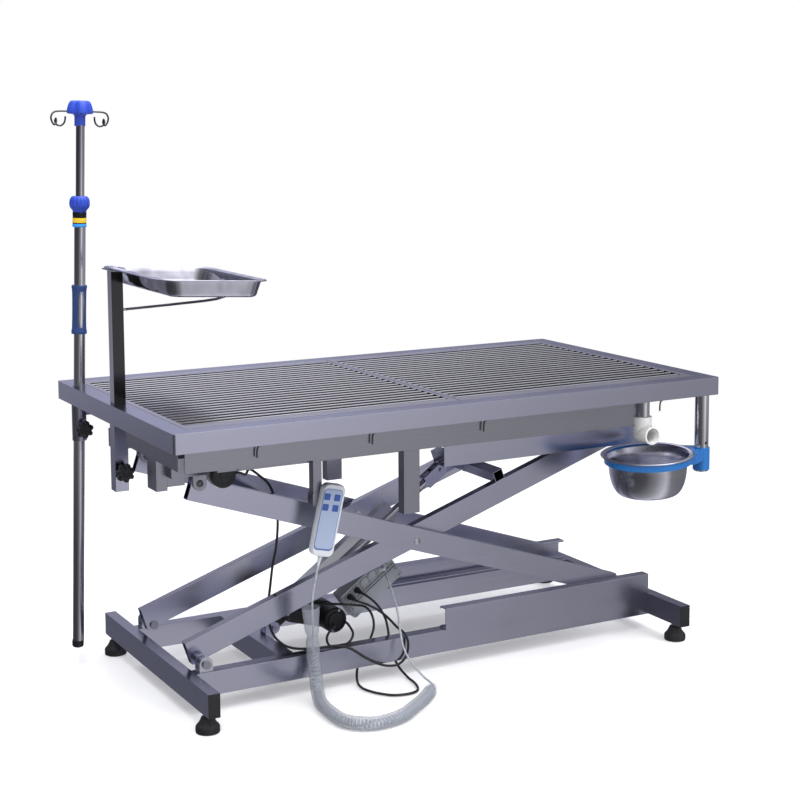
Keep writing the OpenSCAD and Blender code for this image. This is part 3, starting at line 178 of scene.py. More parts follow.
def painted_shade_by_facing(m, axis, low, high, share_low, share_high):
    """Paints shade into the colour by the way a face is turned, for faces that see only their dark
    neighbours.
    """
    nt = m.node_tree
    base = nt.nodes["Principled BSDF"].inputs["Base Color"]
    turned = put(nt, "ShaderNodeSeparateXYZ", {"Vector": found(m, "TEX_COORD").outputs["Normal"]})[axis]
    share = span(nt, turned, low, high, share_low, share_high)
    color = base.links[0].from_socket
    scaled = put(nt, "ShaderNodeVectorMath", {0: color, "Scale": share}, operation="SCALE")
    nt.links.new(scaled["Vector"], base)
    return m


def brushed(name, color=STEEL, rough=0.23, spread=0.04, vary=0.04, scale=(3, 500, 500), bump=0.012):
    return material(name, color, 1.0, rough, spread, vary, scale, bump, edge=EDGE)


steel_x = brushed("steel_x")
# Painted shade: the top frame's upward faces are darkened by their facing
steel_top_painted_shade = painted_shade_by_facing(brushed("steel_top_painted_shade"), "Z", 0.5, 0.9, 1, 0.78)
# Painted shade: upward faces of the base frame, channels and arms under the top are darkened
steel_low_painted_shade = painted_shade_by_facing(brushed("steel_low_painted_shade"), "Z", 0.5, 0.9, 1, 0.36)
steel_z = brushed("steel_z", rough=0.22, scale=(500, 500, 3))
# Painted shade: the grating's side faces, between the slats, are darkened
grate_steel_painted_shade = material("grate_steel_painted_shade", (0.5, 0.495, 0.52), 1.0, 0.3, 0.04, 0.06, (4, 900, 900), 0.05)
painted_shade_by_facing(grate_steel_painted_shade, "Z", 0.5, 0.9, 0.16, 1)
# Painted shade: the drip tray's upward faces, its inside floor, are darkened
tray_steel_painted_shade = brushed("drip_tray_steel", STEEL, 0.28, 0.04, 0.06, (4, 700, 700), 0.05)
painted_shade_by_facing(tray_steel_painted_shade, "Z", 0.3, 0.7, 1, 0.2)
steel_sheet = waves(material("pressed_steel", (0.74, 0.74, 0.82), 1.0, 0.09, 0.03, 0.03, 60, 0.02), 16, 0.004)
# A darker copy of the steel: painted shade for the aprons, subframe and lower bolts set back in shade
steel_dark_painted_shade = brushed("steel_dark_painted_shade", (0.46, 0.46, 0.51), 0.3, 0.04, 0.08, (4, 700, 700), 0.06)
bright = material("bright_steel", (0.78, 0.78, 0.82), 1.0, 0.12, 0.04, 0.06, 90, 0.03)
pole_steel = material("pole_steel", (0.8, 0.8, 0.84), 1.0, 0.13, 0.03, 0.05, (300, 300, 5), 0.02)
# Painted dark reflection: the post's faces turned towards -Y are darkened
post_steel_painted_reflection = brushed("post_steel_painted_reflection", (0.6, 0.6, 0.63), 0.12, 0.04, 0.08, (300, 300, 5), 0.03)
painted_shade_by_facing(post_steel_painted_reflection, "Y", -0.8, -0.4, 0.08, 1)
zinc = material("zinc", (0.78, 0.8, 0.86), 1.0, 0.28, 0.08, 0.12, 40, 0.1, blotch=40)
bolt_dark = material("bolt_dark", (0.2, 0.2, 0.21), 1.0, 0.3, 0.1, 0.25, 80, 0.1, blotch=30)
alu = material("aluminium", (0.72, 0.73, 0.76), 1.0, 0.33, 0.06, 0.05, (12, 300, 300), 0.08)
rubber = material("rubber", (0.018, 0.018, 0.02), 0.0, 0.55, 0.12, 0.4, 300, 0.3, 0.0003)
black = material("black_plastic", (0.012, 0.012, 0.014), 0.0, 0.3, 0.08, 0.3, 500, 0.15, 0.0002)
motor_black = material("motor_black", (0.008, 0.008, 0.009), 0.0, 0.4, 0.08, 0.3, 350, 0.25, 0.0003)
jacket = material("black_jacket", (0.02, 0.02, 0.022), 0.0, 0.42, 0.1, 0.3, 200, 0.15, 0.0002)
grey_jacket = material("grey_jacket", (0.36, 0.39, 0.43), 0.0, 0.45, 0.1, 0.08, 200, 0.15, 0.0002)
grey_box = material("grey_box", (0.36, 0.38, 0.41), 0.0, 0.45, 0.08, 0.06, 500, 0.25, 0.0002)
hand_grey = material("handset_grey", (0.56, 0.58, 0.62), 0.0, 0.42, 0.07, 0.05, 600, 0.2, 0.0002)
navy = material("navy_grip", (0.02, 0.045, 0.15), 0.0, 0.5, 0.1, 0.2, 300, 0.3, 0.0003)
blue = material("royal_blue", (0.025, 0.06, 0.42), 0.0, 0.28, 0.06, 0.12, 120, 0.05, coat=0.3)
ring_blue = material("ring_blue", (0.012, 0.12, 0.37), 0.0, 0.3, 0.06, 0.1, 120, 0.05, coat=0.2)
azure = material("azure", (0.03, 0.27, 0.72), 0.0, 0.3, 0.05, 0.1, 150, 0.05)
yellow = material("yellow", (0.75, 0.5, 0.03), 0.0, 0.35, 0.05, 0.1, 150, 0.05)
pvc = material("white_pvc", (0.82, 0.82, 0.81), 0.0, 0.35, 0.06, 0.04, 90, 0.05, coat=0.1)
membrane = material("membrane", (0.31, 0.37, 0.51), 0.0, 0.3, 0.05, 0.06, 400, 0.05)
outline_blue = material("outline_blue", (0.06, 0.12, 0.34), 0.0, 0.35, 0.06, 0.12, 400, 0.1)
key_blue = material("key_blue", (0.03, 0.08, 0.3), 0.0, 0.35, 0.06, 0.15, 400, 0.1)
bowl_steel = material("bowl_steel", (0.86, 0.86, 0.95), 1.0, 0.2, 0.05, 0.08, (60, 60, 500), 0.05)
waves(bowl_steel, 9, 0.0015)

# A clear soft tube: thin and slightly milky, so what it holds shows through
clear = bpy.data.materials.new("clear_tube")
clear.use_nodes = True
nt = clear.node_tree
b = nt.nodes["Principled BSDF"].inputs
b["Base Color"].default_value = (0.3, 0.32, 0.365, 1)
b["Roughness"].default_value = 0.16
b["IOR"].default_value = 1.45
b["Alpha"].default_value = 0.5
creases = noise(nt, put(nt, "ShaderNodeTexCoord")["Object"], 70, 2.0)
nt.links.new(bumps(nt, creases, 0.5, 0.002), b["Normal"])


# Mesh helpers
def remake(o, change):
    """Changes the object's mesh by a function of its bmesh."""
    bm = bmesh.new()
    bm.from_mesh(o.data)
    change(bm)
    bm.to_mesh(o.data)
    bm.free()
    return o


def skin(rows, n):
    """The faces between rows of n points, each row closed on itself."""
    return [(i * n + k, i * n + (k + 1) % n, (i + 1) * n + (k + 1) % n, (i + 1) * n + k)
            for i in range(rows - 1) for k in range(n)]


def add(name, verts, faces, mat, smooth=True):
    me = bpy.data.meshes.new(name)
    me.from_pydata([tuple(v) for v in verts], [], faces)
    me.update()
    o = shown(name, me)
    me.materials.append(mat)
    remake(o, lambda bm: bmesh.ops.recalc_face_normals(bm, faces=bm.faces))
    for p in me.polygons:
        p.use_smooth = smooth
    return o


def catmull(p, steps):
    out = []
    for i in range(len(p) - 1):
        a, b, c, d = p[max(0, i - 1)], p[i], p[i + 1], p[min(len(p) - 1, i + 2)]
        for k in range(steps):
            t = k / steps
            out.append(0.5 * (2 * b + (c - a) * t + (2 * a - 5 * b + 4 * c - d) * t * t
                              + (3 * b - a - 3 * c + d) * t ** 3))
    out.append(p[-1].copy())
    return out


def at_length(p, gap_sum, s):
    for i in range(1, len(p)):
        if gap_sum[i] >= s or i == len(p) - 1:
            k = (s - gap_sum[i - 1]) / max(1e-9, gap_sum[i] - gap_sum[i - 1])
            return p[i - 1].lerp(p[i], k)


def sums(p):
    out = [0.0]
    for i in range(1, len(p)):
        out.append(out[-1] + (p[i] - p[i - 1]).length)
    return out


def frames(p):
    out = []
    side = Vector((0.3, 0.5, 0.8))
    for i in range(len(p)):
        t = (p[min(i + 1, len(p) - 1)] - p[max(i - 1, 0)]).normalized()
        side = (side - t * side.dot(t)).normalized()
        out.append((t, side.copy(), t.cross(side)))
    return out


def tube(name, p, radius, mat, sides, basis=None):
    """A swept tube along p; radius is a number or one number for each point."""
    verts = []
    for i, (t, u, w) in enumerate(basis or frames(p)):
        r = radius[i] if isinstance(radius, list) else radius
        for k in range(sides):
            a = 2 * math.pi * k / sides
            verts.append(p[i] + (u * math.cos(a) + w * math.sin(a)) * r)
    ends = [tuple(range(sides)), tuple(range((len(p) - 1) * sides, len(p) * sides))]
    return add(name, verts, skin(len(p), sides) + ends, mat)


# Cords: the same routes as the CAD's, in millimetres about the middle of the top
power_points = [P(*q) for q in [
    (-489.2, -250, 518), (-476, -250, 516), (-444, -204, 500), (-406, -138, 494), (-376, -118, 474),
    (-352, -117.6, 449.9), (-345, -130, 418.7), (-341, -134, 378), (-334, -110, 314.9), (-338, -98, 268),
    (-348, -102, 211), (-356, -106, 170), (-352, -122, 128), (-338, -140, 106), (-318, -155, 97),
    (-290, -168, 95), (-260, -176, 95), (-225, -188, 96.5), (-196, -196, 85), (-165, -197, 62),
    (-135, -198, 44), (-108, -198, 35), (-84, -198, 35), (-66, -198, 50), (-61, -199, 78), (-66, -191, 99),
    (-72, -168, 108), (-80, -136, 124), (-92, -114, 136), (-110, -105, 147), (-127, -102, 155),
    (-133.4, -95, 157.5), (-133.4, -83.6, 157.5)]]
lead_points = [P(*q) for q in [
    (-115.5, -83.6, 170.3), (-115.5, -95, 170), (-103, -102, 160), (-86, -105, 142), (-78, -122, 120),
    (-78, -136, 98), (-80, -148, 70), (-74, -152, 40), (-68, -170, 16), (-66, -206, 4), (-70, -242, 4),
    (-79, -273, 4), (-92, -290, 4), (-115, -296, 4), (-146, -288, 4), (-167, -265, 4), (-179, -241, 4),
    (-184, -213, 4), (-178, -180, 8), (-160, -150, 30), (-130, -134, 62), (-104, -118, 96), (-98, -98, 122),
    (-112, -91, 140), (-138, -90, 147), (-168, -84, 152), (-204, -60, 151), (-226, -40, 140),
    (-240, -20, 132)]]
loop_points = [P(*q) for q in [
    (-152, -74.2, 106), (-150, -85, 103), (-143, -94, 84), (-156, -100, 68), (-180, -103, 64),
    (-204, -100, 68), (-208, -94, 84), (-197, -90, 98), (-183, -84, 103), (-181, -74.2, 103)]]
tail_points = [P(*q) for q in [
    (-57, -82, 210), (-57, -100, 195), (-60, -125, 174), (-65, -150, 154), (-72, -175, 134), (-80, -196, 112),
    (-82, -212, 82), (-78, -228, 58), (-70, -245, 40), (-62, -268, 24), (-57, -290, 17), (-58, -304, 15)]]
coil_points = [P(*q) for q in [
    (-300, -215, 112), (-299, -215, 92), (-298, -218, 70), (-299, -226, 46), (-304, -243, 25),
    (-311, -266, 16), (-317, -295, 15), (-321, -330, 15), (-322, -365, 15), (-318, -392, 15),
    (-306, -413, 15), (-286, -429, 15), (-260, -437, 15), (-230, -435, 15), (-196, -424, 15),
    (-168, -404, 15), (-140, -383, 15), (-114, -362, 15), (-90, -340, 15), (-72, -320, 15), (-58, -304, 15)]]
CABLE, LEAD, CURL, CURLS = 0.0055, 0.0045, 0.018, 66
STEPS = 8
# Two points on the handset cord; the curly cord and its sleeve are split at the lower one's height
SLACK_TOP, SLACK_FOOT = (-300, -215, 178), (-300, -215, 25)


def carry(o, start, end, first, second=None):
    """The piece rides on one body; given a second body, its transform is only baked where it stands, and
    start and end are not used.
    """
    if second:
        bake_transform(o)
    else:
        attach(o, first)


def cord(name, points, d, mat, node, runs):
    """A cord made in stretches that meet end to end.

    A run is the route's point where it ends, then its body, or two bodies and, for some, a start and an end
    that carry does not use. A stretch on one body rides on it; a stretch between two bodies is baked where it
    stands."""
    p = catmull(points, STEPS)
    basis = frames(p)
    first = 0
    for k, (upto, *bodies) in enumerate(runs):
        last = round(upto * STEPS)
        part = p[first:last + 1]
        o = tube(f"{name}_{k + 1}" if len(runs) > 1 else name, part, d / 2, mat, 12, basis[first:last + 1])
        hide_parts(node)
        if len(bodies) == 4:
            carry(o, P(*bodies[2]), P(*bodies[3]), *bodies[:2])
        else:
            carry(o, part[0], part[-1], *bodies)
        first = last


cord("power_cord", power_points, CABLE, jacket, "power_cable", [
    (4, "table_top", "outer_pair"), (9, "outer_pair", "inner_pair"), (12, "inner_pair", "base"), (22, "base"),
    (32, "base", "drive")])
cord("motor_cord", lead_points, CABLE, jacket, "motor_lead", [
    (7, "drive", "base"), (19, "base"), (28, "base", "drive")])
cord("motor_u_lead", loop_points, CABLE, jacket, "motor_loop", [(9, "drive")])
cord("handset_tail_cord", tail_points, LEAD, grey_jacket, "handset_tail", [
    (9, "drive", "base"), (11, "base")])

# Straight lead from the handset down into the sleeve
HAND_X, HAND_Y, HAND_Z = -266, -208.5, 386
HAND_LEAN = math.radians(13)
HALF_WIDE, HALF_HIGH = 26, 77.5
end = HALF_HIGH + 22
top = Vector((HAND_X - end * math.sin(HAND_LEAN), HAND_Y - 10.5, HAND_Z - end * math.cos(HAND_LEAN)))
dip = Vector((math.sin(HAND_LEAN), 0, math.cos(HAND_LEAN)))
foot = Vector((-300, -215, 112))
rise = Vector((0, 0, top.z - foot.z))
drop_points = [P(*q) for q in [
    top, top - dip * 9, foot + rise * 0.6, foot + rise * 0.3, foot + Vector((0, 0, 9)), foot]]
cord("handset_drop_cord", drop_points, LEAD, grey_jacket, "handset_lead", [
    (1.5, "handset", "table_top"), (2.125, "table_top", "outer_pair"), (2.75, "outer_pair", "inner_pair"),
    (5, "inner_pair", "base", SLACK_TOP, SLACK_FOOT)])

# The curly cord, one helix about its route with straight ends
axis = catmull(coil_points, 6)
reach = sums(axis)
run = 2 * LEAD
ROUND = 16  # points in one turn
n_axis = CURLS * ROUND
axis_even = [at_length(axis, reach, run + (reach[-1] - 2 * run) * i / n_axis) for i in range(n_axis + 1)]
coil_path = [axis[0], at_length(axis, reach, LEAD)]
for i, (t, u, w) in enumerate(frames(axis_even)):
    a = 2 * math.pi * i / ROUND
    ease = min(1, i / ROUND, (n_axis - i) / ROUND)
    coil_path.append(axis_even[i] + (u * math.cos(a) + w * math.sin(a)) * (CURL - LEAD) / 2 * ease)
coil_path += [at_length(axis, reach, reach[-1] - LEAD), axis[-1]]
low = next(i for i, q in enumerate(axis_even) if q.z * 1000 < SLACK_FOOT[2]) + 2
basis = frames(coil_path)
for k, (first, last) in enumerate([(0, low), (low, len(coil_path) - 1)]):
    part = coil_path[first:last + 1]
    curly = tube(f"curly_handset_cord_{k + 1}", part, LEAD / 2, grey_jacket, 8, basis[first:last + 1])
    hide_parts("curly_cord")
    carry(curly, P(*SLACK_TOP), P(*SLACK_FOOT), *[("inner_pair", "base"), ("base",)][k])

# Studio: a pale floor that turns white with the distance, and a sky that only reflections see
GLOW_NEAR, GLOW_FAR, GLOW_LEAST = 0.9, 2.4, 0.3
floor = add("floor", [(-30, -30, 0), (30, -30, 0), (30, 30, 0), (-30, 30, 0)], [(0, 1, 2, 3)],
            material("floor", (0.93, 0.93, 0.94), 0.0, 0.9, 0.05, 0.005, 3, 0.0), False)
nt = floor.data.materials[0].node_tree
place = put(nt, "ShaderNodeTexCoord")["Object"]
far = put(nt, "ShaderNodeVectorMath", {0: place}, operation="LENGTH")["Value"]
glow = put(nt, "ShaderNodeEmission", {"Color": (1, 1, 1, 1), "Strength": 1.0})["Emission"]
fade = put(nt, "ShaderNodeMixShader", {
    "Fac": span(nt, far, GLOW_NEAR, GLOW_FAR, GLOW_LEAST), 1: nt.nodes["Principled BSDF"].outputs["BSDF"],
    2: glow})["Shader"]
nt.links.new(fade, nt.nodes["Material Output"].inputs["Surface"])
floor.location.z = -0.0005
floor.visible_glossy = False
world = bpy.data.worlds.new("studio")
bpy.context.scene.world = world
world.use_nodes = True
nt = world.node_tree
bg = nt.nodes["Background"]
way = put(nt, "ShaderNodeSeparateXYZ", {"Vector": put(nt, "ShaderNodeTexCoord")["Generated"]})
sky = ramp(nt, span(nt, way["Z"], -1.0, 1.0), [
    (0.0, (0.45, 0.45, 0.47)), (0.3, (0.33, 0.33, 0.35)), (0.398, (0.34, 0.34, 0.36)),
    (0.415, (0.74, 0.74, 0.76)), (0.47, (0.5, 0.5, 0.54)), (0.5, (0.27, 0.27, 0.32)),
    (0.58, (0.29, 0.29, 0.34)), (0.66, (0.5, 0.5, 0.55)), (0.75, (1.0, 1.0, 1.03)), (1.0, 1.5)])
# Darker to the left, with a bright band at the front right, so flat faces come out unlike each other
sides = ramp(nt, span(nt, way["X"], -1.0, 1.0), [
    (0.0, 0.1), (0.2, 0.15), (0.28, 0.27), (0.33, 0.33), (0.45, 0.5), (0.6, 0.9), (0.685, 1.15),
    (0.725, 0.85), (0.76, 0.7), (0.8, 0.42), (1.0, 0.35)])
tint = ramp(nt, span(nt, way["Y"], -0.3, 0.6), [(0.0, 1.0), (1.0, (0.86, 0.87, 1.0))])
tinted = put(nt, "ShaderNodeVectorMath", {0: sky, 1: tint}, operation="MULTIPLY")["Vector"]
nt.links.new(tinted, bg.inputs["Color"])
nt.links.new(times(nt, sides, 1.3), bg.inputs["Strength"])
white = put(nt, "ShaderNodeBackground", {"Color": (1, 1, 1, 1), "Strength": 1.0})["Background"]
seen = put(nt, "ShaderNodeLightPath")["Is Camera Ray"]
mixed = put(nt, "ShaderNodeMixShader", {"Fac": seen, 1: bg.outputs["Background"], 2: white})["Shader"]
nt.links.new(mixed, nt.nodes["World Output"].inputs["Surface"])


def area_light(name, at, target, size, power, color=(1, 1, 1)):
    data = bpy.data.lights.new(name, "AREA")
    data.shape = "RECTANGLE"
    data.size, data.size_y = size
    data.energy = power
    data.color = color
    o = shown(name, data)
    o.location = at
    aim(o, target)
    return o


# They light the floor and what is matt, and leave no image of themselves in the steel
for lamp in (area_light("top", (0, -0.4, 4.6), (0, 0, 0), (5.0, 5.0), 420),
             area_light("key", (-2.2, -2.6, 3.2), (0, 0, 0.5), (1.2, 1.2), 60),
             area_light("fill", (2.6, -2.6, 2.0), (0, 0, 0.4), (1.0, 1.6), 45, (0.96, 0.97, 1))):
    lamp.visible_glossy = False
bpy.context.scene.view_settings.view_transform = "Standard"

ON_AXIS = 0.01
WELD = 1e-6


def lathe(name, profile, mat, segs, place, wave=None):
    """A turned form from pairs of radius and height, with wave(angle, height) scaling the radius."""
    verts = []
    n = len(profile)
    for r, z in profile:
        for k in range(segs):
            a = 2 * math.pi * k / segs
            q = r * (wave(a, z) if wave else 1)
            verts.append(place @ (Vector((q * math.cos(a), q * math.sin(a), z)) / 1000))
    faces = skin(n, segs)
    if profile[0][0] > ON_AXIS and profile[0] != profile[-1]:
        faces += [tuple(range(segs)), tuple(range((n - 1) * segs, n * segs))]

    def weld(bm):
        bmesh.ops.remove_doubles(bm, verts=bm.verts, dist=WELD)
        bmesh.ops.recalc_face_normals(bm, faces=bm.faces)
    return remake(add(name, verts, faces, mat), weld)


def sharp(o, degrees):
    """Smooth shading that keeps the edges sharper than this."""
    def mark(bm):
        for f in bm.faces:
            f.smooth = True
        for e in bm.edges:
            e.smooth = not (len(e.link_faces) == 2 and e.calc_face_angle(0) > math.radians(degrees))
    return remake(o, mark)


def axis_place(at, direction, spin=0.0):
    """The matrix that puts a turned form's foot at a point with its axis along a direction."""
    d = Vector(direction).normalized()
    tilt = d.to_track_quat("Z", "Y").to_matrix().to_4x4()
    return Matrix.Translation(at) @ tilt @ Matrix.Rotation(spin, 4, "Z")


def box(name, lo, hi, mat, bevel, place, segments=2):
    verts = [place @ (Vector((x, y, z)) / 1000)
             for x in (lo[0], hi[0]) for y in (lo[1], hi[1]) for z in (lo[2], hi[2])]
    faces = [(0, 1, 3, 2), (4, 6, 7, 5), (0, 4, 5, 1), (2, 3, 7, 6), (0, 2, 6, 4), (1, 5, 7, 3)]
    o = add(name, verts, faces, mat, False)
    remake(o, lambda bm: bmesh.ops.bevel(
        bm, geom=list(bm.edges), offset=bevel / 1000, segments=segments, profile=0.5, affect="EDGES"))
    return sharp(o, 40)


def join(name, parts):
    bm = bmesh.new()
    mats = []
    for o in parts:
        for m in o.data.materials:
            if m not in mats:
                mats.append(m)
    for o in parts:
        start = len(bm.faces)
        bm.from_mesh(o.data)
        bm.faces.ensure_lookup_table()
        local = [mats.index(m) for m in o.data.materials]
        for f in bm.faces[start:]:
            f.material_index = local[f.material_index]
    me = bpy.data.meshes.new(name)
    bm.to_mesh(me)
    bm.free()
    for m in mats:
        me.materials.append(m)
    for o in parts:
        bpy.data.objects.remove(o)
    return shown(name, me)


# Geometry Nodes: trees with named sizes in metres, for what repeats
def tree(name, *sizes):
    """A tree with those inputs, and its shape's turn and material, and its input sockets."""
    t = bpy.data.node_groups.new(name, "GeometryNodeTree")
    for in_out in ("INPUT", "OUTPUT"):
        t.interface.new_socket("Geometry", in_out=in_out, socket_type="NodeSocketGeometry")
    for label, kind in [(size, "Float") for size in sizes] + [("Turn", "Vector"), ("Material", "Material")]:
        t.interface.new_socket(label, in_out="INPUT", socket_type="NodeSocket" + kind)
    return t, t.nodes.new("NodeGroupInput").outputs


def on_points(t, given, shape):
    """Ends the tree: one shape on each point, turned, realized and given its material."""
    many = put(t, "GeometryNodeInstanceOnPoints", {
        "Points": given["Geometry"], "Instance": shape, "Rotation": given["Turn"]})
    real = put(t, "GeometryNodeRealizeInstances", {"Geometry": many["Instances"]})
    done = put(t, "GeometryNodeSetMaterial", {"Geometry": real["Geometry"], "Material": given["Material"]})
    t.links.new(done["Geometry"], t.nodes.new("NodeGroupOutput").inputs["Geometry"])


def joined(t, *parts):
    both = t.nodes.new("GeometryNodeJoinGeometry")
    for part in parts:
        t.links.new(part, both.inputs["Geometry"])
    return both.outputs["Geometry"]


def capped(t, flat, raised):
    """A raised shell closed by its own flat base."""
    base = put(t, "GeometryNodeFlipFaces", {"Mesh": flat})["Mesh"]
    both = joined(t, base, raised)
    return put(t, "GeometryNodeMergeByDistance", {"Geometry": both, "Distance": WELD})["Geometry"]


def filled(t, curve, mode):
    return put(t, "GeometryNodeFillCurve", {"Curve": curve}, mode=mode)["Mesh"]


def extruded(t, mesh, height, **more):
    return put(t, "GeometryNodeExtrudeMesh", {
        "Mesh": mesh, "Offset Scale": height, "Individual": False, **more})


def circle(t, sides, radius):
    return put(t, "GeometryNodeCurvePrimitiveCircle", {"Resolution": sides, "Radius": radius})["Curve"]


def vector(t, **parts):
    return put(t, "ShaderNodeCombineXYZ", parts)["Vector"]


# A bar with round corners and a stepped-in crown, such as a rib or a wall of a moulding
bar_tree, given = tree("moulded_bar", "Width", "Length", "Height", "Corner")
flat = put(bar_tree, "GeometryNodeCurvePrimitiveQuadrilateral", {
    "Width": given["Width"], "Height": given["Length"]})["Curve"]
flat = put(bar_tree, "GeometryNodeFilletCurve", {
    "Curve": flat, "Count": 3, "Radius": given["Corner"]}, mode="POLY")["Curve"]
flat = filled(bar_tree, flat, "NGONS")
raised = extruded(bar_tree, flat, given["Height"])
raised = extruded(bar_tree, raised["Mesh"], times(bar_tree, given["Corner"], 0.5), Selection=raised["Top"])
raised = put(bar_tree, "GeometryNodeScaleElements", {
    "Geometry": raised["Mesh"], "Selection": raised["Top"], "Scale": 0.86})
on_points(bar_tree, given, capped(bar_tree, flat, raised["Geometry"]))

# A round screw head with a hexagonal socket
screw_tree, given = tree("socket_screw", "Radius", "Height", "Socket", "Depth")
hexagon = circle(screw_tree, 6, given["Socket"])
flat = filled(screw_tree, joined(screw_tree, circle(screw_tree, 32, given["Radius"]), hexagon), "TRIANGLES")
wall = capped(screw_tree, flat, extruded(screw_tree, flat, given["Height"])["Mesh"])
level = put(screw_tree, "ShaderNodeMath", {
    0: given["Height"], 1: given["Depth"]}, operation="SUBTRACT")["Value"]
bottom = put(screw_tree, "GeometryNodeTransform", {
    "Geometry": filled(screw_tree, hexagon, "NGONS"), "Translation": vector(screw_tree, Z=level)})["Geometry"]
on_points(screw_tree, given, joined(screw_tree, wall, bottom))

# A bent wire pin: level where it is welded, then straight down
pin_tree, given = tree("wire_hook", "Reach", "Drop", "Radius")
route = put(pin_tree, "GeometryNodeCurvePrimitiveBezierSegment", {
    "Resolution": 16, "Start": vector(pin_tree, X=given["Reach"]),
    "Start Handle": vector(pin_tree, X=times(pin_tree, given["Reach"], -0.9)),
    "End": vector(pin_tree, Z=times(pin_tree, given["Drop"], -1.0)),
    "End Handle": vector(pin_tree, Z=times(pin_tree, given["Drop"], 0.75))}, mode="OFFSET")["Curve"]
section = circle(pin_tree, 12, given["Radius"])
on_points(pin_tree, given, put(pin_tree, "GeometryNodeCurveToMesh", {
    "Curve": route, "Profile Curve": section, "Fill Caps": True})["Mesh"])


def grow(name, t, points, place, **inputs):
    """A plain mesh from a tree run on points in millimetres, its inputs set by the names above."""
    me = bpy.data.meshes.new(name)
    me.from_pydata([Vector(q) / 1000 for q in points], [], [])
    o = shown(name, me)
    mod = o.modifiers.new("grow", "NODES")
    mod.node_group = t
    for item in t.interface.items_tree:
        if item.in_out == "INPUT" and item.name in inputs:
            mod[item.identifier] = inputs[item.name]
    bpy.context.view_layer.update()
    plain = bpy.data.meshes.new_from_object(o.evaluated_get(bpy.context.evaluated_depsgraph_get()))
    o.modifiers.remove(mod)
    o.data = plain
    bpy.data.meshes.remove(me)
    plain.name = name
    plain.transform(place)
    return o


TO_FRONT = (math.radians(90), 0.0, 0.0)

# Drip stand, in the frame that leans from the table top
stand = Matrix.Translation(P(-641, 262, TOP_Z)) @ Matrix.Rotation(math.radians(1.85), 4, "Y")


def grip_wave(a, z):
    middle = 1.0 if 128 < z < 216 else 0.0
    return 1 - 0.035 * middle * (0.5 - 0.5 * math.cos(24 * a))


grip = lathe("drip_stand_grip", [
    (12.7, 118), (16.6, 118), (17, 119.5), (17, 124), (16.2, 128), (15.7, 133), (15.4, 150), (15.3, 172),
    (15.4, 194), (15.7, 211), (16.2, 217), (17, 221), (17, 224.5), (16.6, 226),
    (12.7, 226)], navy, 144, stand, grip_wave)
tip = lathe("drip_stand_tip", [
    (0.01, -596), (9, -596), (11.8, -594.5), (13, -591), (13, -580.5), (12.6, -579), (10.9, -579),
    (10.9, -569), (0.01, -569)],
    black, 48, stand)
band_low = lathe("lock_band_blue", [
    (9.6, 355), (14.9, 355), (15.5, 355.8), (15.5, 361.4), (14.8, 362), (9.6, 362)], azure, 64, stand)
band_label = lathe("lock_band_label", [
    (9.6, 362), (15.1, 362), (15.1, 364.4), (9.6, 364.4)], black, 64, stand)
band_yellow = lathe("lock_band_yellow", [
    (9.6, 364.4), (15.15, 364.4), (15.2, 364.6), (15.2, 374.8), (15.15, 375), (9.6, 375)], yellow, 64, stand)
band_top = lathe("lock_band_top", [
    (9.6, 375), (15.1, 375), (15.1, 383), (15.5, 383.4), (15.5, 386.6), (15, 387),
    (9.6, 387)], black, 64, stand)
fittings = join("drip_stand_fittings", [grip, tip, band_low, band_label, band_yellow, band_top])
sharp(fittings, 50)
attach(fittings, "drip_stand")
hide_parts("stand_fittings")

collar = lathe("lock_collar_nut", [
    (9.6, 387.3), (14.2, 387.3), (15.2, 389), (15.5, 391.5), (18.5, 395), (21.2, 398.5), (22.3, 403),
    (22.5, 408), (22, 413), (20.6, 417.5), (18.2, 421), (15.5, 423), (9.6, 423.3)], blue, 168, stand,
    lambda a, z: 1 - (0.07 if 394 < z < 420 else 0.0) * (0.5 + 0.5 * math.cos(14 * a)) ** 3)
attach(collar, "lock_collar")
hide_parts("stand_collar")


def lobes(a, z):
    if z < 600:
        return 1.0
    return 1 - 0.2 * (0.5 - 0.5 * math.cos(4 * a)) ** 2.2


head = lathe("hook_head_cap", [
    (9.6, 576), (11.4, 576), (12, 577), (12, 596), (13, 599.5), (16, 602), (24, 602.6), (28.2, 603.6),
    (29, 606), (28.7, 610), (27.6, 616), (25.6, 623), (23.2, 628), (20.2, 631), (15, 632),
    (0.01, 632)], blue, 192, stand, lobes)
hook_share = [
    (0.3, 0, 0), (0.55, 0, 0), (0.78, 0, -0.01), (0.92, 0.02, -0.06), (1, 0.05, -0.2), (0.97, 0.07, -0.36),
    (0.88, 0.05, -0.45), (0.8, 0, -0.36), (0.8, -0.06, -0.24), (0.82, -0.1, -0.34), (0.76, -0.1, -0.45),
    (0.63, -0.08, -0.48), (0.53, -0.06, -0.4), (0.49, -0.05, -0.28), (0.485, -0.05, -0.16)]
hooks = []
for turn in (0, math.pi):
    spin = stand @ Matrix.Translation((0, 0, 0.608)) @ Matrix.Rotation(turn, 4, "Z")
    p = catmull([Vector(q) * 66 for q in hook_share], 6)
    thin = [0.002] * (len(p) - 2) + [0.0017, 0.0008]
    hooks.append(tube("wire", [spin @ (q / 1000) for q in p], thin, bolt_dark, 12))
hooks = join("drip_hooks", hooks)
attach(head, "hook_head")
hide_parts("stand_head")
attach(hooks, "hook_head")
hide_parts("stand_hooks")


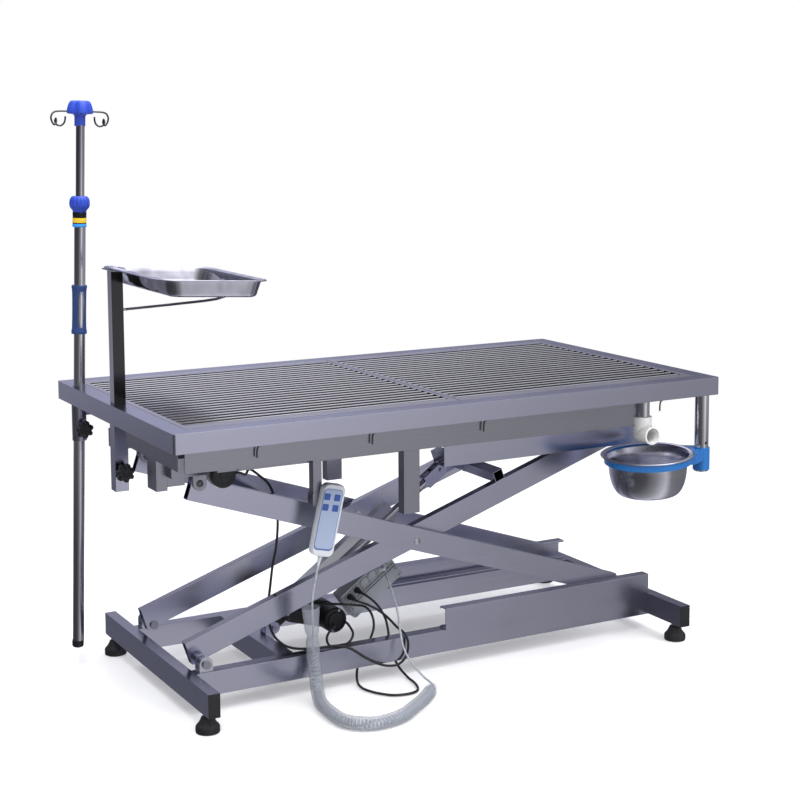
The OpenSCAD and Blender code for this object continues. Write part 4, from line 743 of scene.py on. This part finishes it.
# Star knobs with their screws
def star_knob(name, at, foot, reach, body, node):
    place = axis_place(at, (0, -1, 0), 0.3)

    def seven(a, z):
        return 1 - 0.24 * (0.5 - 0.5 * math.cos(7 * a)) ** 1.6 if z > foot - 0.1 else 1
    cap = lathe(name, [
        (0.01, foot), (12, foot), (18.6, foot), (20, foot + 2), (20, foot + 12), (19.2, foot + 14.6),
        (17, foot + 16.2), (13, foot + 17), (8, foot + 17), (7, foot + 16), (0.01, foot + 15.8)],
        black, 168, place, seven)
    hub = lathe("hub", [
        (4, foot - 8), (7.6, foot - 8), (8, foot - 7.4), (8, foot + 0.5),
        (0.01, foot + 0.5)], black, 48, place)
    thread = [(4 - 0.35 * (i % 2), reach + 0.5 + i * 0.7) for i in range(int((foot - 8 - reach) / 0.7))]
    screw = lathe("screw", [(0.01, reach)] + thread + [(4, foot - 8), (0.01, foot - 8)], bolt_dark, 32, place)
    o = join(name, [cap, hub, screw])
    sharp(o, 50)
    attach(o, body)
    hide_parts(node)


star_knob("drip_stand_knob", P(-643.6, 262, 539.971), 30.5, 13.8, "stand_screw", "stand_knob")
star_knob("tray_post_knob", P(-640, 8, 490.971), 29, 12.9, "tray_screw", "tray_knob")

# Instrument tray: a pressed shell with a rolled rim
tray_at = Matrix.Translation(P(-656, 0, TOP_Z + 288)) @ Matrix.Rotation(math.radians(3.5), 4, "Y")


def round_outline(x0, x1, y0, y1, r, n=10):
    out = []
    for cx, cy, a0 in (
            (x1 - r, y1 - r, 0), (x0 + r, y1 - r, 90), (x0 + r, y0 + r, 180), (x1 - r, y0 + r, 270)):
        for i in range(n + 1):
            a = math.radians(a0 + 90 * i / n)
            out.append((cx + r * math.cos(a), cy + r * math.sin(a)))
    return out


def rings_shell(name, rings, mat, place):
    """A shell through level outlines, closed at the last."""
    n = len(rings[0][0])
    verts = [place @ (Vector((x, y, z)) / 1000) for outline, z in rings for x, y in outline]
    return add(name, verts, skin(len(rings), n) + [tuple(range((len(rings) - 1) * n, len(rings) * n))], mat)


def thicken(o, thickness, side):
    """Gives a shell of no thickness its wall, inward for side -1 and outward for side 1."""
    wall = o.modifiers.new("thick", "SOLIDIFY")
    wall.thickness = thickness
    wall.offset = side


X0, X1, Y0, Y1 = 0.0, 244.0, -285.0, 58.0


def inset(left, rest, r):
    return round_outline(X0 + left, X1 - rest, Y0 + rest, Y1 - rest, r)


tray_rings = [(inset(*q), z) for *q, z in [
    (0.6, 0.6, 37, -2.4), (0, 0, 38, -1.4), (0.2, 0.2, 38, -0.4), (1, 1, 37, 0), (4, 3.4, 35, 0),
    (5, 4.2, 34, -0.8), (6.2, 5, 33, -1.3), (26, 10, 28, -1.5), (29.5, 11.2, 27, -2), (31.3, 12.2, 26, -3.8),
    (33, 14.2, 25.5, -12), (36, 17.2, 25, -25), (37.4, 18.4, 24, -30), (39.6, 20.6, 22.5, -33),
    (43.6, 24.6, 19, -34.6), (52, 32, 14, -34.8)]]
tray = rings_shell("instrument_tray_shell", tray_rings, steel_sheet, tray_at)
thicken(tray, 0.0009, -1)
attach(tray, "tray")
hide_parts("instrument_tray")

# Bowl: a spun shell with a rolled rim
ring_pivot = Matrix.Translation(P(627, -341, 469.971))
sag = Matrix.Rotation(math.radians(-2.96), 4, "Y") @ Matrix.Rotation(math.radians(1.02), 4, "X")
droop = ring_pivot @ sag @ ring_pivot.inverted()
bowl_at = droop @ Matrix.Translation(P(492.5, -319.8, 470.271 - 92))
profile = [(0.01, 0.6), (40, 0.6), (54, 0.8), (60, 2)]
for i in range(1, 15):
    a = math.radians(90 * i / 14)
    profile.append((60 + 28 * math.sin(a), 68.08 * (1 - math.cos(a)) + 0.6))
profile += [(90.5, 78), (93.2, 88), (94.2, 91.5), (97, 92.8), (101.5, 93.2), (104, 93), (104.9, 92.2),
            (104.4, 91.4), (103, 91.6)]
bowl = lathe("waste_bowl", profile, bowl_steel, 128, bowl_at)
thicken(bowl, 0.0008, 1)
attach(bowl, "bowl_body")
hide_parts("bowl")

# Clear sleeve: a loose crinkled tube with a funnel over the handset's lead
sleeve_route = catmull([P(-305, -215, 202), P(-304, -215, 180), P(-302, -215, 150)] + coil_points, 10)
lengths = sums(sleeve_route)
COUNT, SIDES = 260, 28
FUNNEL, CUFF = 0.1, 0.965  # where the funnel ends and the cuff starts, as shares of the length
FUNNEL_RADIUS, FUNNEL_FALL = 19.5, 5.4
CUFF_RADIUS, CUFF_FALL = 14, 3.6
LOOSE_RADIUS = 14.1
TOP_GAP, FOOT_GAP = 0.0001, 0.014
sleeve_path = [at_length(sleeve_route, lengths, TOP_GAP + (lengths[-1] - FOOT_GAP) * i / COUNT)
               for i in range(COUNT + 1)]
rnd = random.Random(7)
folds = [(rnd.uniform(0, 6.28), rnd.uniform(0.7, 1.3)) for _ in range(6)]
rings = []
for i, (t, u, w) in enumerate(frames(sleeve_path)):
    s = i / COUNT
    if s < FUNNEL:
        r = FUNNEL_RADIUS - FUNNEL_FALL * s / FUNNEL
    elif s > CUFF:
        r = CUFF_RADIUS - CUFF_FALL * (s - CUFF) / 0.035
    else:
        r = LOOSE_RADIUS + (0.25 * math.sin(i * 1.3) if s > 0.16 else 0)
    pinch = 1 - 0.22 * math.exp(-((s - FUNNEL) / 0.012) ** 2)
    ring = []
    for k in range(SIDES):
        a = 2 * math.pi * k / SIDES
        fold = sum(amp * math.sin((2 + m) * a + ph + i * (0.05 + 0.03 * m))
                   for m, (ph, amp) in enumerate(folds)) * 0.055
        q = r * pinch * (1 + fold * (0.6 if s < CUFF else 0.0) * 0.5)
        ring.append(sleeve_path[i] + (u * math.cos(a) + w * math.sin(a)) * min(q, 20) / 1000)
    rings.append(ring)
low = next(i for i, q in enumerate(sleeve_path) if q.z * 1000 < SLACK_FOOT[2])
for part, (first, last) in enumerate([(0, low), (low, COUNT)]):
    verts = [q for ring in rings[first:last + 1] for q in ring]
    sleeve = add(f"clear_cord_sleeve_{part + 1}", verts, skin(last - first + 1, SIDES), clear)
    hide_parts("cord_sleeve")
    carry(sleeve, P(*SLACK_TOP), P(*SLACK_FOOT), *[("inner_pair", "base"), ("base",)][part])

# Handset: a soft-edged shell with a membrane, its outline and four keys
hand = Matrix.Translation(P(HAND_X, HAND_Y, HAND_Z)) @ Matrix.Rotation(HAND_LEAN, 4, "Y")


def hand_outline(more, r):
    """Outline in the handset's own x and z, as pairs."""
    return round_outline(-HALF_WIDE - more, HALF_WIDE + more, -HALF_HIGH - more, HALF_HIGH + more, r, 8)


def xz_shell(name, rings, mat, place):
    """A solid through upright outlines, closed at both ends."""
    n = len(rings[0][0])
    verts = [place @ (Vector((x, y, z)) / 1000) for outline, y in rings for x, z in outline]
    ends = [tuple(range(n)), tuple(range((len(rings) - 1) * n, len(rings) * n))]
    return add(name, verts, ends + skin(len(rings), n), mat)


def square(x, z, half, r, n):
    return round_outline(x - half, x + half, z - half, z + half, r, n)


shell = xz_shell("handset_body", [(hand_outline(more, r), y) for more, r, y in [
    (-3.5, 11, 0), (-1.2, 13, -0.8), (0, 14, -3.2), (0, 14, -10), (-0.35, 13.7, -10.4), (-0.35, 13.7, -11),
    (0, 14, -11.4), (0, 14, -16.5), (-0.8, 13.3, -19.2), (-2.2, 12, -20.6),
    (-4, 10.5, -21)]], hand_grey, hand)
relief_at = hand @ Matrix.Translation((0, -0.0105, 0))
profile = [(0.01, -73), (6.2, -73), (6.2, -78)]
for i in range(7):
    wide, slim, fall = 5.2 - i * 0.4, 4.3 - i * 0.36, i * 2.9
    profile += [(wide, -78.2 - fall), (wide, -79.9 - fall), (slim, -80.1 - fall), (slim, -80.9 - fall)]
profile += [(2.6, -98.9), (2.4, -99.5), (0.01, -99.5)]
relief = lathe("relief", profile, hand_grey, 32, relief_at)
outline_band = xz_shell("outline", [
    (round_outline(-24.5, 20, -64, 67, 9, 8), -20.2), (round_outline(-24.5, 20, -64, 67, 9, 8), -21.1),
    (round_outline(-24.1, 19.6, -63.6, 66.6, 8.6, 8), -21.2)], outline_blue, hand)
sheet_face = xz_shell("membrane_face", [
    (round_outline(-23.2, 18.9, -60.4, 65.6, 8, 8), -20.4),
    (round_outline(-23.2, 18.9, -60.4, 65.6, 8, 8), -21.3),
    (round_outline(-22.8, 18.5, -60, 65.2, 7.6, 8), -21.38)], membrane, hand)
KEYS = [(x, z) for x in (-15.25, 8.25) for z in (49.5, 27)]
parts = [shell, relief, outline_band, sheet_face]
for x, z in KEYS:
    parts.append(xz_shell("frame", [(square(x, z, half, r, 5), y) for half, r, y in [
        (8, 2.2, -21.2), (8, 2.2, -21.5), (7.7, 2, -21.6)]], membrane, hand))
handset = join("handset_case", parts)
sharp(handset, 32)
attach(handset, "handset")
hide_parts("handset_shell")
for i, (x, z) in enumerate(KEYS):
    key = xz_shell(f"handset_key_{i + 1}", [(square(x, z, half, r, 6), y) for half, r, y in [
        (7, 1.8, -19.5), (7, 1.8, -21.9), (6.7, 1.6, -22.3), (5.8, 1.2, -22.45)]], key_blue, hand)
    sharp(key, 32)
    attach(key, f"key_{i + 1}")
    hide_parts(f"button_{i + 1}")

# Drive: the frame of the line between its pivots
DRIVE_FOOT, DRIVE_TILT = P(-300, 0, 100), math.radians(-35.5418)
GEAR_AXIS, MOTOR_AXIS, GEAR_RADIUS = (60, 0), (109, -63), 30
SOCKET_Z = -50
drive = Matrix.Translation(DRIVE_FOOT) @ Matrix.Rotation(DRIVE_TILT, 4, "Y")


def on_y(place, x, z):
    """A turned form's matrix with its axis along -Y from a point in the place's own x and z."""
    return place @ Matrix.Translation((x / 1000, 0, z / 1000)) @ Matrix.Rotation(math.radians(90), 4, "X")


motor_at = on_y(drive, *MOTOR_AXIS)
profile = [(0.01, 17), (28, 17), (28, 20)]
for i in range(7):
    z = i * 5.2
    profile += [(28, 22 + z), (28, 24.6 + z), (27.2, 25 + z), (27.2, 26.6 + z)]
profile += [(28, 59), (28, 69), (26.6, 71), (25, 72), (22.2, 72), (22, 70.6), (19, 70.6), (18.8, 72.6),
            (18.2, 73.4), (14, 73.8), (0.01, 73.9)]
motor = lathe("motor_can", profile, motor_black, 72, motor_at)
at = [(23.8 * math.cos(math.radians(a)), 23.8 * math.sin(math.radians(a)), 70.8) for a in (35, 215)]
end_screws = grow("screws", screw_tree, at, motor_at,
                  Radius=0.0026, Height=0.0026, Socket=0.0013, Depth=0.0015, Material=bright)


def gear_outline(more):
    """Outline of the gear housing: two round ends and the sides between them."""
    gear, motor = Vector(GEAR_AXIS), Vector(MOTOR_AXIS)
    along = (motor - gear).normalized()
    base = math.atan2(along.x, -along.y)
    r = GEAR_RADIUS + more
    out = []
    for centre, start in ((gear, base + math.pi), (motor, base)):
        for i in range(17):
            t = start - math.pi * i / 16
            out.append((centre.x + r * math.cos(t), centre.y + r * math.sin(t)))
    return out


housing = xz_shell("gear_housing", [(gear_outline(more), y) for more, y in [
    (-3, 26), (-0.8, 25.2), (0, 23), (0, 5), (-0.8, 4.6), (-0.8, 3.4), (0, 3), (0, -15), (-0.8, -17.2),
    (-3, -18)]], motor_black, drive)
at = [(x, -17, z) for x, z in ((60, 22), (38, -8), (82, -2), (90, -74), (131, -60), (112, -85))]
gear_screws = grow("screws", screw_tree, at, drive, Turn=TO_FRONT,
                   Radius=0.003, Height=0.0026, Socket=0.0016, Depth=0.0016, Material=bolt_dark)
eye = lathe("eye", [(5.1, -10), (11.2, -10), (12, -9.2), (12, 9.2), (11.2, 10), (5.1, 10), (5.1, -10)],
            motor_black, 48, on_y(drive, 0, 0))
link = box("link", (9, -9.5, -11.5), (50, 9.5, 11.5), motor_black, 1.5, drive)
unit = join("drive_gear_and_motor", [motor, housing, eye, link, end_screws, gear_screws])
sharp(unit, 40)
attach(unit, "drive")
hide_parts("drive_motor")

# Control box: a ribbed cover with a row of sockets in its side
LAST_PLUG = 200
strip = [
    box("case", (150, -57.5, -102), (300, -22, -34), grey_box, 2.5, drive, 3),
    box("ledge_a", (152, -62, -36), (298, -56, -34.2), grey_box, 0.8, drive),
    box("ledge_b", (152, -62, -68), (298, -56, -64.8), grey_box, 0.8, drive),
    box("cover", (152, -62, -101), (298, -56, -71), grey_box, 2.0, drive),
    grow("walls", bar_tree, [(x, -56, -50.5) for x in (154, 181, 206, 229, 253, 283, 296)], drive,
         Turn=TO_FRONT, Width=0.002, Length=0.029, Height=0.0053, Corner=0.0006, Material=grey_box),
    grow("screws", screw_tree, [(x, -61, z) for x in (158, 292) for z in (-95, -77)], drive,
         Turn=TO_FRONT, Radius=0.0024, Height=0.001, Socket=0.0012, Depth=0.0009, Material=bolt_dark)]
for x in (169, 191, 217, 240):
    hole = on_y(drive, x, SOCKET_Z)
    ring = [(8.4, 56), (8.4, 61.4), (9.6, 61.8), (10.6, 61), (10.6, 56)]
    strip.append(lathe("socket", ring, grey_box, 40, hole))
    if x > LAST_PLUG:
        strip.append(lathe("blank", [(8.4, 56), (8.4, 60.4), (6, 61), (0.01, 61)], grey_box, 40, hole))
strip += [
    grow("ribs", bar_tree, [(159.5 + 12 * k, -39, -101) for k in range(12)], drive, Turn=(math.pi, 0.0, 0.0),
         Width=0.003, Length=0.022, Height=0.0018, Corner=0.0008, Material=grey_box),
    box("control_foot", (190, -30, -35), (250, -7.5, -3.75), grey_box, 1.5, drive)]
control = join("control_case", strip)
sharp(control, 40)
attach(control, "drive")
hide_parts("control_box")
plugs = []
for x, mat in ((169, black), (191, black), (265, hand_grey)):
    prof = [(0.01, 56), (6.9, 56), (7, 63), (6.6, 66.5), (6.2, 67), (6.2, 69)]
    for i in range(4):
        z, wide, slim = 69.4 + i * 2.7, 5.4 - i * 0.45, 4.6 - i * 0.4
        prof += [(wide, z), (wide, z + 1.5), (slim, z + 1.7), (slim, z + 2.4)]
    prof += [(3.4, 80), (0.01, 80)]
    plugs.append(lathe("plug", prof, mat, 40, on_y(drive, x, SOCKET_Z)))
plugs = join("control_plugs_moulded", plugs)
sharp(plugs, 40)
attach(plugs, "drive")
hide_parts("control_plugs")

# Rubber feet: a ribbed bell on a disc
for i, (x, y) in enumerate([(x, y) for x in (-566.5, 612.51) for y in (-276.5, 276.5)]):
    pad = lathe(f"foot_bell_{i + 1}", [
        (0.01, 0), (22.8, 0), (24.4, 0.8), (25, 2.4), (25, 11), (24.6, 13), (23.4, 15), (20.5, 18),
        (17.5, 22), (15.6, 26), (14.2, 28.6), (13.4, 31), (12.4, 32.6), (10.5, 33.6),
        (6.1, 33.6)], rubber, 72, Matrix.Translation(P(x, y, 0)),
        lambda a, z: 1 - (0.03 * (0.5 - 0.5 * math.cos(18 * a)) if 2 < z < 12 else 0))
    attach(pad, f"foot_{i + 1}")
    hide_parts(f"foot_pad_{i + 1}")

# Junction box: two shells with a seam, a gland and a clip band
junction = Matrix.Translation(P(-517, -250, 517.971))
can_at = on_y(junction, 0, 0)
can = lathe("can", [
    (0.01, -17), (23, -17), (25.4, -16), (26, -14), (26, -1.4), (25.2, -1), (25.2, 1), (26, 1.4), (26, 14),
    (25.4, 16), (23, 17), (17, 17), (16.6, 16.2), (9, 16.2), (8.6, 17.2), (0.01, 17.4)], black, 64, can_at)
clip = lathe("clip", [
    (26.02, -6), (27.4, -6), (27.5, -5.6), (27.5, 5.6), (27.4, 6), (26.02, 6),
    (26.02, -6)], bright, 64, can_at)
hang = box("hang", (-6, -6, 26.5), (6, 6, 74), bright, 0.4, junction)
gland = lathe("gland", [(0.01, 20), (4.4, 20), (4.4, 25.9), (3.4, 26.3), (0.01, 26.3)], black, 32,
              junction @ Matrix.Rotation(math.radians(90), 4, "Y"))
case = join("junction_box_case", [can, clip, hang, gland])
sharp(case, 40)
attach(case, "table_top")
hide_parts("junction_box")


# Bolts: domed heads on the outside, hex nuts on the inside
HEAD_RADIUS, HEAD_HIGH, NUT_HIGH = 9, 4.9, 4.5


def bolt_set(name, body, node, x, z, head_y, nut_y, mat, bush=None):
    """Bolts through both sides: head and washer outside, nut inside, shaft, and a bush between two depths."""
    parts = []
    for side in (-1, 1):
        outside = axis_place(P(x, side * head_y, z), (0, side, 0))
        inside = axis_place(P(x, side * nut_y, z), (0, -side, 0))
        parts.append(lathe("washer", [
            (0.01, 0), (HEAD_RADIUS + 1.6, 0), (HEAD_RADIUS + 1.6, 1.1), (HEAD_RADIUS + 1.2, 1.4),
            (0.01, 1.4)],
            bright, 48, outside))
        parts.append(lathe("head", [
            (0.01, 1.2), (HEAD_RADIUS - 0.8, 1.2), (HEAD_RADIUS - 0.8, 2.0),
            (HEAD_RADIUS - 1.6, HEAD_HIGH - 0.8), (HEAD_RADIUS - 4, HEAD_HIGH - 0.2), (3.4, HEAD_HIGH),
            (3.2, HEAD_HIGH - 1.2), (0.01, HEAD_HIGH - 1.2)],
            mat, 48, outside))
        parts.append(lathe("nut", [
            (0.01, 0), (8.8, 0), (9, 0.4), (9, NUT_HIGH - 0.6), (8.4, NUT_HIGH), (0.01, NUT_HIGH)],
            mat, 6, inside))
        lo, hi = sorted((nut_y, head_y))
        shaft = axis_place(P(x, side * lo, z), (0, side, 0))
        parts.append(lathe("shaft", [(0.01, 0), (6, 0), (6, hi - lo), (0.01, hi - lo)], mat, 32, shaft))
        if bush:
            thick = bush[1] - bush[0]
            parts.append(lathe("bush", [
                (0.01, 0), (8.6, 0), (9, 0.5), (9, thick - 0.5), (8.6, thick), (0.01, thick)],
                black, 40, axis_place(P(x, side * bush[0], z), (0, side, 0))))
    o = join(name, parts)
    sharp(o, 40)
    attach(o, body)
    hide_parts(node)


PIVOT_X, ROLLER_X, LOW_Z, HIGH_Z = -530.5, 492.935, 106.0, 483.971
bolt_set("upper_pivot_bolts", "table_top", "upper_bolts", PIVOT_X, HIGH_Z, 167.4, 140.4, bolt_dark)
bolt_set("crossing_bolts", "outer_pair", "cross_bolts", (PIVOT_X + ROLLER_X) / 2, (LOW_Z + HIGH_Z) / 2,
         163.9, 121.6, bright, (142.2, 143.9))

# Wire hooks for ties along both long rims, in front of the aprons
HOOKS_X = (-485, -230, 35, 497)
HOOK_Y, MIDDLE_Y, HOOK_Z = 354, -3.1, 591.5
at = [(x, side * HOOK_Y + MIDDLE_Y, HOOK_Z) for x in HOOKS_X for side in (-1, 1)]
pins = grow("rim_hooks", pin_tree, at, Matrix.Translation(P(0, 0, 0)),
            Reach=0.008, Drop=0.0235, Radius=0.0018, Material=bolt_dark)
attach(pins, "table_top")
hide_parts("tie_hooks")

# Finishes of the CAD nodes
FINISH = [
    (steel_low_painted_shade, "base_frame lower_channels inner_arms outer_arms"), (steel_top_painted_shade, "top_frame"),
    (steel_x, "upper_channels"), (steel_z, "stand_sleeve post_sleeve"),
    (steel_dark_painted_shade, "subframe apron_panels lower_bolts"), (tray_steel_painted_shade, "drip_tray"),
    (grate_steel_painted_shade, "grating_left grating_right"), (post_steel_painted_reflection, "tray_post"), (zinc, "lower_lugs"),
    (alu, "drive_tube"), (pole_steel, "stand_lower_tube stand_upper_tube bowl_post drain_pipe"),
    (bright, "tray_carrier foot_studs drive_rod"), (black, "base_end_caps lower_rollers upper_rollers"),
    (pvc, "drain_elbow"), (ring_blue, "bowl_holder")]
for mat, names in FINISH:
    for name in names.split():
        slots = NODES[name].data.materials
        slots.clear()
        slots.append(mat)
